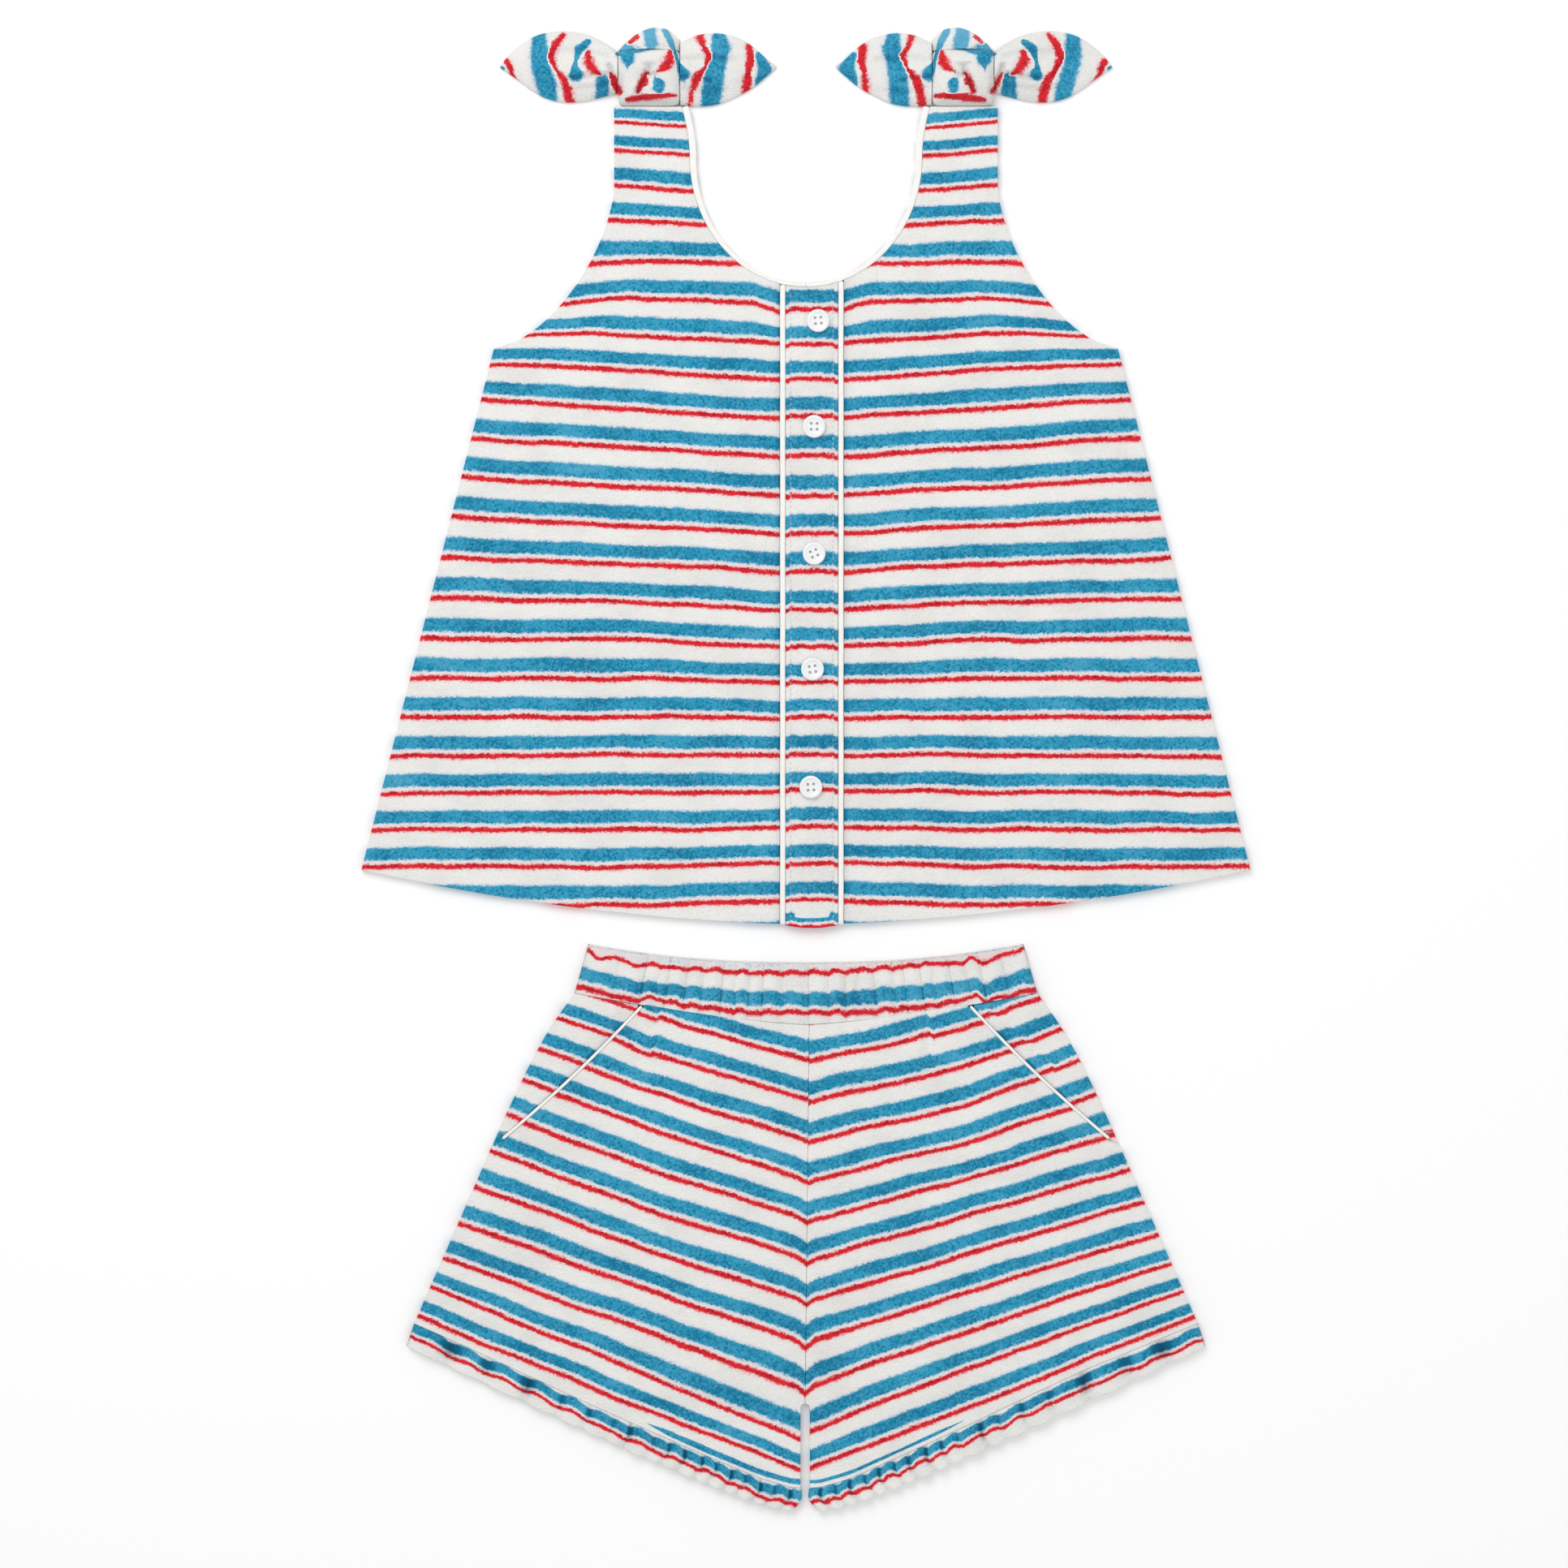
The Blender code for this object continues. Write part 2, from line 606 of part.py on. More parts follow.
def make_bow_end(side, sign, name, table, direction):
    """A pointed end of the tied strap, full at the knot and thin at its tip."""
    along, across = END_STEPS
    steps = spread(table[0][0], table[-1][0], along)
    lower = [(direction * out, read_curve(table, out, 1)) for out in steps]
    upper = [(direction * out, read_curve(table, out, 2)) for out in steps]
    if direction < 0:
        lower.reverse()
        upper.reverse()
    plan = lay_out(
        [mix(lower[0], upper[0], i / across) for i in range(across + 1)],
        [mix(lower[-1], upper[-1], i / across) for i in range(across + 1)],
        lower, upper,
    )
    length = table[-1][0] - table[0][0]

    def height(x, y, u, v):
        out = (abs(abs(x) + KNOT_X) - table[0][0]) / length
        full = mix(END_ROOT_HEIGHT, END_BODY_HEIGHT, clamp(2.5 * out))
        full *= 1 - 0.75 * clamp(1.6 * out - 0.6) ** 1.5
        creases = sum(strength * bump_at(v, middle, half) for middle, half, strength in END_CREASES)
        return EDGE_HEIGHT + full * swell(v, 0.55) - END_CREASE_DEPTH * creases * (1 - clamp(1.7 * out))

    add_wall(f"bow_{side}_{name}", placed(plan, sign), flat_at(0.0), height)


def make_bow_loop(side, sign):
    """The rounded loop of strap that shows above the knot."""
    steps, rows = LOOP_STEPS
    columns = spread(LOOP_TOP[0][0], LOOP_TOP[-1][0], steps)
    foot_y = KNOT_HEAD + SEAM_GAP
    left_x, right_x = columns[0], columns[-1]
    plan = lay_out(
        [(left_x, y) for y in spread(foot_y, read_curve(LOOP_TOP, left_x), rows)],
        [(right_x, y) for y in spread(foot_y, read_curve(LOOP_TOP, right_x), rows)],
        [(x, foot_y) for x in columns], [(x, read_curve(LOOP_TOP, x)) for x in columns],
    )

    def height(x, y, u, v):
        return EDGE_HEIGHT + (LOOP_HEIGHT - EDGE_HEIGHT) * swell(u, 0.6) * math.cos(0.5 * math.pi * v) ** 0.6

    add_wall(f"bow_{side}_loop", placed(plan, sign), flat_at(0.0), height)


def make_bow(side, sign):
    """One shoulder's tied bow."""
    make_knot(side, sign)
    make_bow_loop(side, sign)
    make_bow_end(side, sign, "outer_end", OUTER_END, -1)
    make_bow_end(side, sign, "inner_end", INNER_END, 1)


# The shorts


def waist_top_y(x):
    """Height of the waistband's top edge."""
    return WAIST_TOP_CENTRE_Y + WAIST_TOP_RISE * (abs(x) / WAIST_TOP_HALF) ** WAIST_TOP_POWER


def waist_seam_y(x):
    """Height of the seam between waistband and legs."""
    return WAIST_SEAM_CENTRE_Y + WAIST_SEAM_RISE * (abs(x) / WAIST_SEAM_HALF) ** WAIST_SEAM_POWER


def frill_seam_y(x):
    """Height of the seam between a leg and its frill, at a distance from the middle line."""
    return read_curve(FRILL_EDGE, x) + FRILL_DROP


def pocket_edge(share, inset=0.0):
    """A point on the slanted pocket edge, from its top down, moved towards the middle by an inset."""
    x, y = mix(POCKET_TOP, POCKET_FOOT, share)
    run_x, run_y = POCKET_FOOT[0] - POCKET_TOP[0], POCKET_FOOT[1] - POCKET_TOP[1]
    length = math.hypot(run_x, run_y)
    move = inset + POCKET_BOW * math.sin(math.pi * share)
    return x + move * run_y / length, y - move * run_x / length


def pocket_x(y):
    """Distance of the pocket edge from the middle line at a height."""
    return mix(POCKET_TOP[0], POCKET_FOOT[0], (POCKET_TOP[1] - y) / (POCKET_TOP[1] - POCKET_FOOT[1]))


def inseam_half(y, sign):
    """Inner edge of a leg piece: along the centre seam, and below it along the notch between the legs."""
    share = clamp((WAIST_SEAM_CENTRE_Y - y) / (WAIST_SEAM_CENTRE_Y - CROTCH_Y))
    seam_x = sign * mix(CENTRE_SEAM_TOP_X, CROTCH_X, share)
    if y >= CROTCH_Y:
        return seam_x + SEAM_GAP / 2
    opening = math.sqrt(1 - (1 - clamp((CROTCH_Y - y) / NOTCH_ROUND)) ** 2)
    return seam_x + mix(SEAM_GAP / 2, NOTCH_HALF, opening)


def leg_panel(sign, pocket_inset, counts):
    """Plan of a leg piece right of the middle line, from the frill's seam up to the waist seam."""
    across, leg_rows, seat_rows, hip_rows = counts
    foot_y = frill_seam_y(NOTCH_HALF)
    inner_foot = (inseam_half(foot_y, sign), foot_y)
    heights = spread(foot_y, CROTCH_Y - NOTCH_ROUND, leg_rows)
    heights += [CROTCH_Y - 0.35 * NOTCH_ROUND]
    heights += spread(CROTCH_Y, SEAT_Y, seat_rows)
    heights += spread(SEAT_Y, WAIST_SEAM_CENTRE_Y, hip_rows)[1:]
    inner_side = [(inseam_half(y, sign), y) for y in heights]
    inner_side[0] = inner_foot
    side_foot_y = frill_seam_y(FRILL_SIDE_HALF)
    corner = (read_curve(SHORTS_SIDE, POCKET_FOOT[1]), POCKET_FOOT[1])
    if pocket_inset:
        corner = pocket_edge(1.0, pocket_inset)
    low_rows = len(heights) - 1 - hip_rows
    run = [(y - foot_y) / (SEAT_Y - foot_y) for y in heights[: low_rows + 1]]
    side_heights = [mix(side_foot_y, corner[1], share) for share in run]
    outer_side = [(read_curve(SHORTS_SIDE, y), y) for y in side_heights]
    outer_side[-1] = corner
    if pocket_inset:
        shares = spread(1, POCKET_SEAM_SHARE, hip_rows)[1:]
        outer_side += [pocket_edge(share, pocket_inset) for share in shares]
    else:
        side_top_y = waist_seam_y(WAIST_SEAM_HALF)
        outer_side += [(read_curve(SHORTS_SIDE, y), y) for y in spread(corner[1], side_top_y, hip_rows)[1:]]
    outer_side[-1] = (outer_side[-1][0], waist_seam_y(outer_side[-1][0]))
    hem = [(x, frill_seam_y(x)) for x in spread(inner_side[0][0], outer_side[0][0], across)]
    hem[0], hem[-1] = inner_side[0], outer_side[0]
    waist = [(x, waist_seam_y(x)) for x in spread(inner_side[-1][0], outer_side[-1][0], across)]
    inner_side[-1] = waist[0]
    return lay_out(inner_side, outer_side, hem, waist)


def make_legs():
    """Fronts and backs of the shorts."""

    lie = lofted(LEG_LOFT, LEG_FLUTES)

    def under(x, y, u, v):
        along_pocket = clamp((y - POCKET_FOOT[1]) / POCKET_LIP_RUN)
        to_pocket = clamp((abs(x) - pocket_x(y) + POCKET_LIP_REACH) / POCKET_LIP_REACH)
        return lie(x, y, u, v) + POCKET_LIP * along_pocket * to_pocket

    inset = POCKET_PIPING_RADIUS + SEAM_GAP
    for side, sign in (("left", -1), ("right", 1)):
        front = leg_panel(sign, inset, LEG_FRONT_STEPS)
        back = leg_panel(sign, 0.0, LEG_BACK_STEPS)
        if side == "left":
            front, back = mirrored(front), mirrored(back)
        add_wall(f"shorts_front_{side}", front, under)
        add_wall(f"shorts_back_{side}", back, flat_at(0.0))


def make_pockets():
    """The side piece that shows inside each slanted pocket, and the piping on the pocket's edge."""
    inset = -(POCKET_PIPING_RADIUS + SEAM_GAP)
    for side in ("left", "right"):
        across, rows = POCKET_SIDE_STEPS
        inner_side = [pocket_edge(share, inset) for share in spread(*POCKET_SIDE_SPAN, rows)]
        inner_side[-1] = (inner_side[-1][0], waist_seam_y(inner_side[-1][0]))
        side_top_y = waist_seam_y(WAIST_SEAM_HALF)
        outer_side = [(read_curve(SHORTS_SIDE, y), y) for y in spread(inner_side[0][1], side_top_y, rows)]
        foot = [mix(inner_side[0], outer_side[0], i / across) for i in range(across + 1)]
        waist = [(x, waist_seam_y(x)) for x in spread(inner_side[-1][0], outer_side[-1][0], across)]
        plan = lay_out(inner_side, outer_side, foot, waist)
        path = [pocket_edge(share) for share in spread(*POCKET_PIPING_SPAN, POCKET_PIPING_STEPS)]
        if side == "left":
            plan = mirrored(plan)
            path = [(-x, y) for x, y in path]
        add_wall(f"pocket_side_{side}", plan, lofted(POCKET_SIDE_LOFT, 1))
        height = FRONT_Z + POCKET_LIP + POCKET_PIPING_RADIUS
        path = [(x, y, height) for x, y in path]
        add_tube(f"pocket_piping_{side}", path, [POCKET_PIPING_RADIUS] * len(path), POCKET_PIPING_RADIUS)


def make_waistband():
    """The gathered front of the waistband over its plain back."""
    shares, heights = fold_columns(WAIST_GATHERS, GATHER_SAMPLES)

    def outline(columns, rise):
        seam_xs = [mix(-WAIST_SEAM_HALF, WAIST_SEAM_HALF, share) for share in columns]
        head_xs = [mix(-WAIST_TOP_HALF, WAIST_TOP_HALF, share) for share in columns]
        seam = [(x, waist_seam_y(x) + SEAM_GAP) for x in seam_xs]
        head = [(x, waist_top_y(x) + rise) for x in head_xs]
        left = [mix(seam[0], head[0], share) for share in spread(0, 1, WAISTBAND_ROWS)]
        right = [mix(seam[-1], head[-1], share) for share in spread(0, 1, WAISTBAND_ROWS)]
        return lay_out(left, right, seam, head)

    def thickness(x, y, gather, v):
        return WAISTBAND_THICKNESS + gather * mix(GATHER_EDGE_SHARE, 1.0, swell(v))

    front = with_heights(outline(shares, 0.0), heights)
    add_wall("waistband_front", front, flat_at(FRONT_Z), thickness)
    add_wall("waistband_back", outline(spread(0, 1, 24), BACK_BAND_SHOWS), flat_at(0.0))


def frill_plan(sign, samples):
    """Plan and wave heights of a leg's frill, right of the middle line, from the inseam to the side."""
    shares, heights = fold_columns(tuple(reversed(FRILL_WAVES)), samples)
    start, end = inseam_half(frill_seam_y(NOTCH_HALF), sign), FRILL_SIDE_HALF
    seam_xs = [mix(start, end, share) for share in shares]
    seam = [(x, frill_seam_y(x) - SEAM_GAP) for x in seam_xs]
    tallest = max(height for width, height in FRILL_WAVES)
    edge = []
    for share, height in zip(shares, heights):
        x = mix(start + FRILL_CORNER_ROUND, FRILL_EDGE[-1][0], share)
        drawn_in = FRILL_SCALLOP * (1 - height / tallest) * clamp(8 * share)
        edge.append((x, read_curve(FRILL_EDGE, x) + drawn_in))
    steps = spread(0, 1, FRILL_ROWS)
    inner = []
    for step in steps:
        x, y = mix(edge[0], seam[0], step)
        inner.append((x - FRILL_CORNER_BULGE * math.sin(math.pi * step), y))
    outer = [mix(edge[-1], seam[-1], step) for step in steps]
    return with_heights(lay_out(inner, outer, edge, seam), heights)


def make_frills():
    """The gathered frill round each leg: a waved front over a plain back."""

    def wave_height(x, y, wave, v):
        return FRONT_Z + wave * mix(1.0, FRILL_SEAM_SHARE, v)

    for side, sign in (("left", -1), ("right", 1)):
        front = frill_plan(sign, GATHER_SAMPLES)
        back = frill_plan(sign, GATHER_SAMPLES // 2)
        if side == "left":
            front, back = mirrored(front), mirrored(back)
        add_wall(f"frill_front_{side}", front, wave_height)
        add_wall(f"frill_back_{side}", back, flat_at(0.0))


def centre_on_origin():
    """Move the set so that the middle of its box stands over the origin."""
    pieces = [thing for thing in bpy.context.scene.objects if thing.type == "MESH"]
    shown = [thing for thing in pieces if not thing.hide_render]
    corners = [thing.matrix_world @ vertex.co for thing in shown for vertex in thing.data.vertices]
    middle_x = (min(c.x for c in corners) + max(c.x for c in corners)) / 2
    middle_y = (min(c.y for c in corners) + max(c.y for c in corners)) / 2
    for thing in pieces:
        thing.location -= Vector((middle_x, middle_y, 0))


def build():
    for thing in list(bpy.data.objects):
        bpy.data.objects.remove(thing, do_unlink=True)
    make_top_back()
    make_top_fronts()
    make_button_band()
    make_neck_binding()
    for number, (x, y) in enumerate(BUTTON_PLACES, start=1):
        make_button(number, x, y)
    for side, sign in (("left", -1), ("right", 1)):
        make_bow(side, sign)
    make_legs()
    make_pockets()
    make_waistband()
    make_frills()
    bpy.context.view_layer.update()
    centre_on_origin()


build()
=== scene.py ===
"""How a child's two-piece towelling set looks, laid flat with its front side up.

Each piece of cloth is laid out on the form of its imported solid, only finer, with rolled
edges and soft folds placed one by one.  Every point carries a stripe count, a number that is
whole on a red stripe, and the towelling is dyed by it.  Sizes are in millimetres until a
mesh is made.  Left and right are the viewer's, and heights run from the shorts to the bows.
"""

import math
from collections import Counter

import bpy
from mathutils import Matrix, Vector, kdtree, noise


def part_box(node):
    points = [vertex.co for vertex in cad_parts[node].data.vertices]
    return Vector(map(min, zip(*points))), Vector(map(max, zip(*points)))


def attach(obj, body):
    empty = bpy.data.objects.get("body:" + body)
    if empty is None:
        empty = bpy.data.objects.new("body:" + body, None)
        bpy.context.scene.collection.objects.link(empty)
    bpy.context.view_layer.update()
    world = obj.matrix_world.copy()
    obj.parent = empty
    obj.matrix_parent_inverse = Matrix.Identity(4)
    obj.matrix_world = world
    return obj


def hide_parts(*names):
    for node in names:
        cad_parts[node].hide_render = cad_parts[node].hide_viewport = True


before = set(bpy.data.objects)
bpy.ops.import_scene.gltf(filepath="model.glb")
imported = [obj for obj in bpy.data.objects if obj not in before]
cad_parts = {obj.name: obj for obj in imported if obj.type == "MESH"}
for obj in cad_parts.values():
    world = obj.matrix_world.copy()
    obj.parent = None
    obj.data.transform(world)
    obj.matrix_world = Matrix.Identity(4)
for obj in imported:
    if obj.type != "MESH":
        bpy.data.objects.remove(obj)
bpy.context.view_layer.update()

MM = 0.001
SIDES = (("left", -1), ("right", 1))
STRAP_TOP_Y = 325.9
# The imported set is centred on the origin, so its pieces lie a little off their drawn places
SHIFT_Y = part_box("top_back")[1].y / MM - STRAP_TOP_Y

# Cloth, the clearance between its layers, and the clearance between edges that are sewn together
CLOTH = 1.8
LAYER_GAP = 0.3
SEAM_GAP = 0.05
FRONT_Z = CLOTH + LAYER_GAP
# How far in from an edge the cloth rounds over, and the reach in which its points crowd together
EDGE_ROUND = 0.1
EDGE_REACH = 1.3
EDGE_SHARES = (0.0, 0.08, 0.26, 0.55, 1.0)
# Distance between the points of a front and of a hidden back
FINE_STEP = 2.0
HIDDEN_STEP = 4.0
# Height and size of the pile's unevenness, and how many times smaller its finer half is
PILE_SWELL = 0.16
PILE_SWELL_SIZE = 5.0
PILE_FINER = 2.3

# How far a front rises off the back in its middle, and its soft flutes across
TOP_LOFT = 0.9
TOP_FLUTES = 2.5
LEG_LOFT = 1.2
LEG_FLUTES = 2.0
FLUTE_SHARE = 0.25

# Body of the top, as half widths from its middle line
CHEST_HALF = 153.5
UNDERARM_Y = 207.0
HEM_HALF = 218.8
HEM_CORNER_Y = -49.8
HEM_CENTRE_Y = -76.4
HEM_CURVE_POWER = 1.8

# Armhole: a quarter of a squarish oval from the underarm up to the strap
STRAP_OUTER_HALF = 94.4
ARMHOLE_DEPTH = 80.0
ARMHOLE_POWER = 1.6

# Neckline: half an oval, its sides flaring a little towards the knots
NECK_HALF = 53.8
NECK_DEPTH = 60.0
NECK_CENTRE_Y = 299.0
NECK_FLARE = 0.0055
NECK_ROW_POWER = 1.6
NECK_ROWS = 44
# Points along half of the neck binding, round the front and up the strap
BINDING_ROUND_STEPS = 60
BINDING_STRAP_STEPS = 14
BINDING_WIDTH_FRONT = 2.0
BINDING_WIDTH_STRAP = 3.4
BINDING_HEIGHT = 2.3
BACK_NECK_SHOWS = 0.6
BACK_NECK_REACH = 5.0

# Button band with its two pipings, whose middles lie a distance from the band's middle
BAND_CENTRE_X = 2.9
PIPING_X = 14.3
PIPING_HALF = 1.35
PIPING_HEIGHT = 2.9
PIPING_SQUARENESS = 0.55
PIPING_SIDES = 20
PIPING_STEPS = 90
POCKET_PIPING_STEPS = 50
# The rounded end of a piping: (distance in from the end, share of the full width)
PIPING_CAP = ((0.0, 0.45), (0.25, 0.8), (0.7, 1.0))
BAND_HALF = PIPING_X - PIPING_HALF - SEAM_GAP
BAND_THICKNESS = 2.7
BAND_CROWN = 0.5
BAND_TOP_Y = 236.7
BAND_FOOT_Y = -78.4
BAND_FOOT_RISE = 1.4
BAND_FOOT_BEND_Y = -62.0
BAND_FOOT_BEND_RUN = 12.0
BAND_STEP = 1.2
STITCH_FROM_CENTRE = 10.4
STITCH_SINK = 0.45
STITCH_GROOVE_HALF = 0.8
STITCH_SEAT = 0.25
STITCH_LENGTH = 1.9
STITCH_GAP = 0.9
STITCH_RADIUS = 0.17
STITCH_SIDES = 6
STITCH_ROW_STEPS = 60
# A stitch from end to end: (share along it, lift and fullness in radii of the thread)
STITCH_SHAPE = ((0.0, -0.9, 0.5), (0.2, 0.0, 0.9), (0.5, 0.35, 1.0), (0.8, 0.0, 0.9), (1.0, -0.9, 0.5))
# A piping strays a little from straight: (reach, turn for each mm up)
PIPING_WAVER = (0.04, 0.11)
SHADE_BESIDE_BAND = 0.32
SHADE_REACH = 1.4

# Buttons: (x, y, turn in degrees), top one first
BUTTON_PLACES = ((6.0, 220.2, 6.0), (4.0, 168.2, 0.0), (4.0, 105.8, 22.0), (3.2, 49.0, 8.0), (2.4, -9.0, 3.0))
BUTTON_HEIGHT = 2.3
BUTTON_SIDES = 48
BUTTON_SHARP_ANGLE = 35.0
HOLE_RADIUS = 0.66
HOLE_FROM_MIDDLE = 1.45
HOLE_SIDES = 20
DRILL_BEYOND = 1.0
# Profile of a button from its foot round to its flat dish: (radius, height)
BUTTON_PROFILE = (
    (4.7, 0.0), (5.2, 0.12), (5.5, 0.42), (5.65, 0.9), (5.65, 1.45), (5.5, 1.9), (5.22, 2.18), (4.85, 2.3),
    (4.5, 2.28), (4.2, 2.14), (3.9, 1.92), (3.5, 1.78), (2.9, 1.7),
)
# Grey thread in a hole, partly real thread and partly painted shade of the hole, from the band up: (share of
# the hole's radius, height)
THREAD_PROFILE = ((0.855, -0.3), (0.855, 1.0), (0.5225, 1.25))
THREAD_SIDES = 10

# Shoulder bows: the left one, measured from the middle of its knot
KNOT_X = -77.2
KNOT_Y = 341.0
KNOT_HALF_WIDTH = 15.25
KNOT_FOOT = -15.0
KNOT_HEAD = 12.3
KNOT_HEIGHT = 13.0
KNOT_WALL = 8.6
KNOT_FOOT_WALL = 3.0
KNOT_WALL_RUN = 9.0
KNOT_PLAN_POWER = 9.0
KNOT_SPOKES = 110
KNOT_RINGS = 30
# Its last two rings lie close together, at shares of the way out, and its foot is a little smaller
KNOT_LAST_RINGS = (0.993, 1.0)
KNOT_FOOT_SHARE = 0.97
# How deep the grooves and the unevenness of the pile are on a knot, as times the usual
KNOT_GROOVES = 1.4
KNOT_PILE = 1.2
# Height of a bow's thin edges
EDGE_HEIGHT = 1.3
# The pointed ends from the knot out: (distance, height of the lower and of the upper edge)
OUTER_END = (
    (15.3, -8.2, 12.2), (22.8, -10.0, 17.2), (30.8, -12.0, 20.8), (41.2, -12.7, 22.4), (50.4, -10.8, 21.6),
    (58.4, -6.4, 18.8), (67.6, 0.4, 12.2), (73.4, 4.4, 5.4),
)
INNER_END = (
    (15.3, -14.5, 16.6), (22.2, -14.7, 19.8), (29.2, -14.4, 21.3), (36.4, -12.8, 21.0), (44.6, -9.0, 18.8),
    (51.8, -4.8, 14.2), (58.0, 0.4, 8.6), (62.6, 4.4, 5.4),
)
END_ROOT_HEIGHT = 8.0
END_BODY_HEIGHT = 4.6
# An end falls from its root's height to its body's at a rate, for each share of its length, and
# then grows thinner towards its tip
END_ROOT_RATE = 2.5
END_TIP_THINNER = 0.75
END_TIP_RATE = 1.6
END_TIP_LAG = 0.6
END_TIP_POWER = 1.5
# The rounded top of the loop above the knot: (x, height), and its rough height for spacing its points
LOOP_TOP = ((-15.0, 13.4), (-11.0, 17.0), (-6.0, 21.0), (0.0, 23.6), (5.0, 24.0), (10.0, 22.6), (15.0, 18.4))
LOOP_TALL = 12.0
LOOP_HEIGHT = 10.0
# How many times wider the folded strap was cut than it lies
BOW_END_FULLNESS = 1.2
LOOP_FULLNESS = 1.6
BOW_STEP = 0.7
BOW_WHITE = 0.3
# Painted shade over the whole of a bow, and how much paler the blue of its loop is made
BOW_SHADE = 0.04
LOOP_PALENESS = 0.3
# The marks were measured on a picture from above, which shows the tall knots a little farther up
MARK_DROP = 1.2
# Their edges stray by a distance, over spots of a size
MARK_STRAY = 0.5
MARK_STRAY_SIZE = 1.7
MARK_FARTHEST = 9.0
GROOVE_SHADE = 0.1

# Grooves pressed into a bow: (half width, depth, points on the groove)
BOW_GROOVES = (
    (1.3, 2.4, ((-19.5, 4.5), (-17.6, -1.5), (-13.6, -8.6))),
    (1.3, 2.4, ((0.4, 4.0), (-1.8, -1.5), (-5.4, -8.6))),
    (1.2, 1.6, ((-18.6, 0.6), (-27.0, -0.4), (-40.0, -1.4))),
    (1.2, 1.5, ((1.6, -0.4), (9.0, -0.8), (19.0, -1.2), (30.0, -2.4))),
    (1.1, 1.5, ((-15.6, 13.6), (-10.0, 15.6), (-4.0, 11.4), (-2.2, 6.0))),
    (1.6, 1.0, ((-20.0, 9.5), (-32.0, 12.5), (-45.0, 12.0))),
    (1.6, 1.0, ((19.0, 8.0), (30.0, 9.0), (42.0, 8.0))),
    (1.5, 0.9, ((-20.0, -4.6), (-33.0, -6.6), (-46.0, -6.4))),
    (1.5, 0.9, ((18.0, -7.0), (28.0, -8.4), (38.0, -7.2))),
    (1.4, 1.2, ((5.0, 12.0), (11.6, 14.6), (15.6, 8.0))),
)

# Stripes as they fall on a tied bow: (x, y, half width) along each one
BOW_REDS = (
    ((-70.2, 8.6, 1.3), (-68.4, 5.4, 1.5), (-67.2, 1.6, 1.0), (-66.2, -2.0, 1.8)),
    ((-42.2, 21.5, 1.2), (-46.3, 16.2, 1.8), (-48.6, 10.2, 2.0), (-45.4, 3.4, 1.1), (-41.7, -1.2, 2.0),
     (-39.9, -6.7, 2.2), (-39.0, -12.6, 1.8)),
    ((-29.8, 12.6, 1.2), (-29.8, 8.0, 2.4), (-28.0, 4.3, 2.2), (-23.4, 1.1, 0.8)),
    ((-19.0, 1.8, 1.0), (-16.8, -2.6, 2.3), (-14.2, -7.6, 1.1)),
    ((-0.8, 1.0, 1.2), (-2.6, -3.2, 1.9), (-5.0, -7.6, 0.9)),
    ((-9.4, 17.2, 1.2), (-6.4, 20.2, 1.6)),
    ((10.8, 12.4, 1.2), (10.2, 7.0, 2.5), (8.3, 3.4, 2.4), (3.8, 0.2, 0.8)),
    ((25.0, 20.9, 2.0), (27.1, 14.8, 1.2), (29.9, 10.7, 2.0), (27.6, 4.3, 0.9), (23.0, -1.2, 2.3),
     (21.6, -5.8, 1.9), (19.6, -14.2, 1.5)),
    ((49.4, 16.0, 1.7), (50.1, 8.9, 1.9), (48.7, 3.4, 1.2), (48.3, -1.2, 2.3), (47.6, -8.6, 2.0)),
    ((-10.6, -11.4, 0.8), (-4.5, -10.7, 1.1), (4.6, -9.8, 1.2), (13.4, -9.4, 0.8)),
)
BOW_BLUES = (
    ((-73.0, 5.0, 1.6), (-72.2, 5.0, 1.2)),
    ((-54.4, 21.0, 3.6), (-53.7, 11.6, 4.8), (-53.7, 7.0, 4.6), (-50.0, -4.9, 4.6), (-49.1, -12.4, 4.2)),
    ((-30.0, 17.6, 1.6), (-34.4, 14.0, 2.4), (-36.0, 8.0, 0.8), (-36.6, 4.4, 1.6), (-36.0, 1.8, 3.6)),
    ((-22.6, -1.6, 3.4), (-23.0, -10.6, 4.2)),
    ((-11.8, 16.4, 1.0), (-10.2, 12.0, 4.2), (-10.0, 8.5, 3.4), (-10.2, 4.6, 0.8)),
    ((-15.6, 11.6, 0.9), (-10.2, 11.8, 4.0), (-5.2, 12.6, 0.6)),
    ((0.2, 23.4, 3.4), (1.2, 16.2, 3.6)),
    ((7.8, 23.4, 1.8), (10.6, 18.1, 1.8), (12.8, 11.6, 1.0), (14.6, 6.1, 1.0), (16.4, 1.4, 3.8)),
    ((5.2, -1.8, 2.8), (4.8, -6.4, 3.0)),
    ((34.4, 20.4, 3.4), (35.4, 14.4, 4.8), (33.6, 8.0, 4.2), (31.7, -0.3, 4.9), (30.6, -14.4, 4.5)),
    ((54.6, 11.0, 2.6), (57.2, 4.6, 4.0), (54.8, -2.4, 2.8)),
)

# Shorts: waistband, seams and legs, as half widths from the middle line
WAIST_TOP_HALF = 107.2
WAIST_TOP_CENTRE_Y = -96.0
WAIST_TOP_RISE = 9.0
WAIST_TOP_POWER = 2.3
WAIST_SEAM_HALF = 114.0
WAIST_SEAM_CENTRE_Y = -125.8
WAIST_SEAM_RISE = 15.4
WAIST_SEAM_POWER = 1.4
# Rough height of the waistband, and the steps between its rows of points on the front and the back
WAISTBAND_TALL = 30.0
WAISTBAND_STEP = 1.2
WAISTBAND_BACK_STEP = 3.0
WAISTBAND_BACK_COLUMNS = 90
WAISTBAND_THICKNESS = 2.4
GATHER_EDGE_SHARE = 0.45
BACK_BAND_SHOWS = 0.8
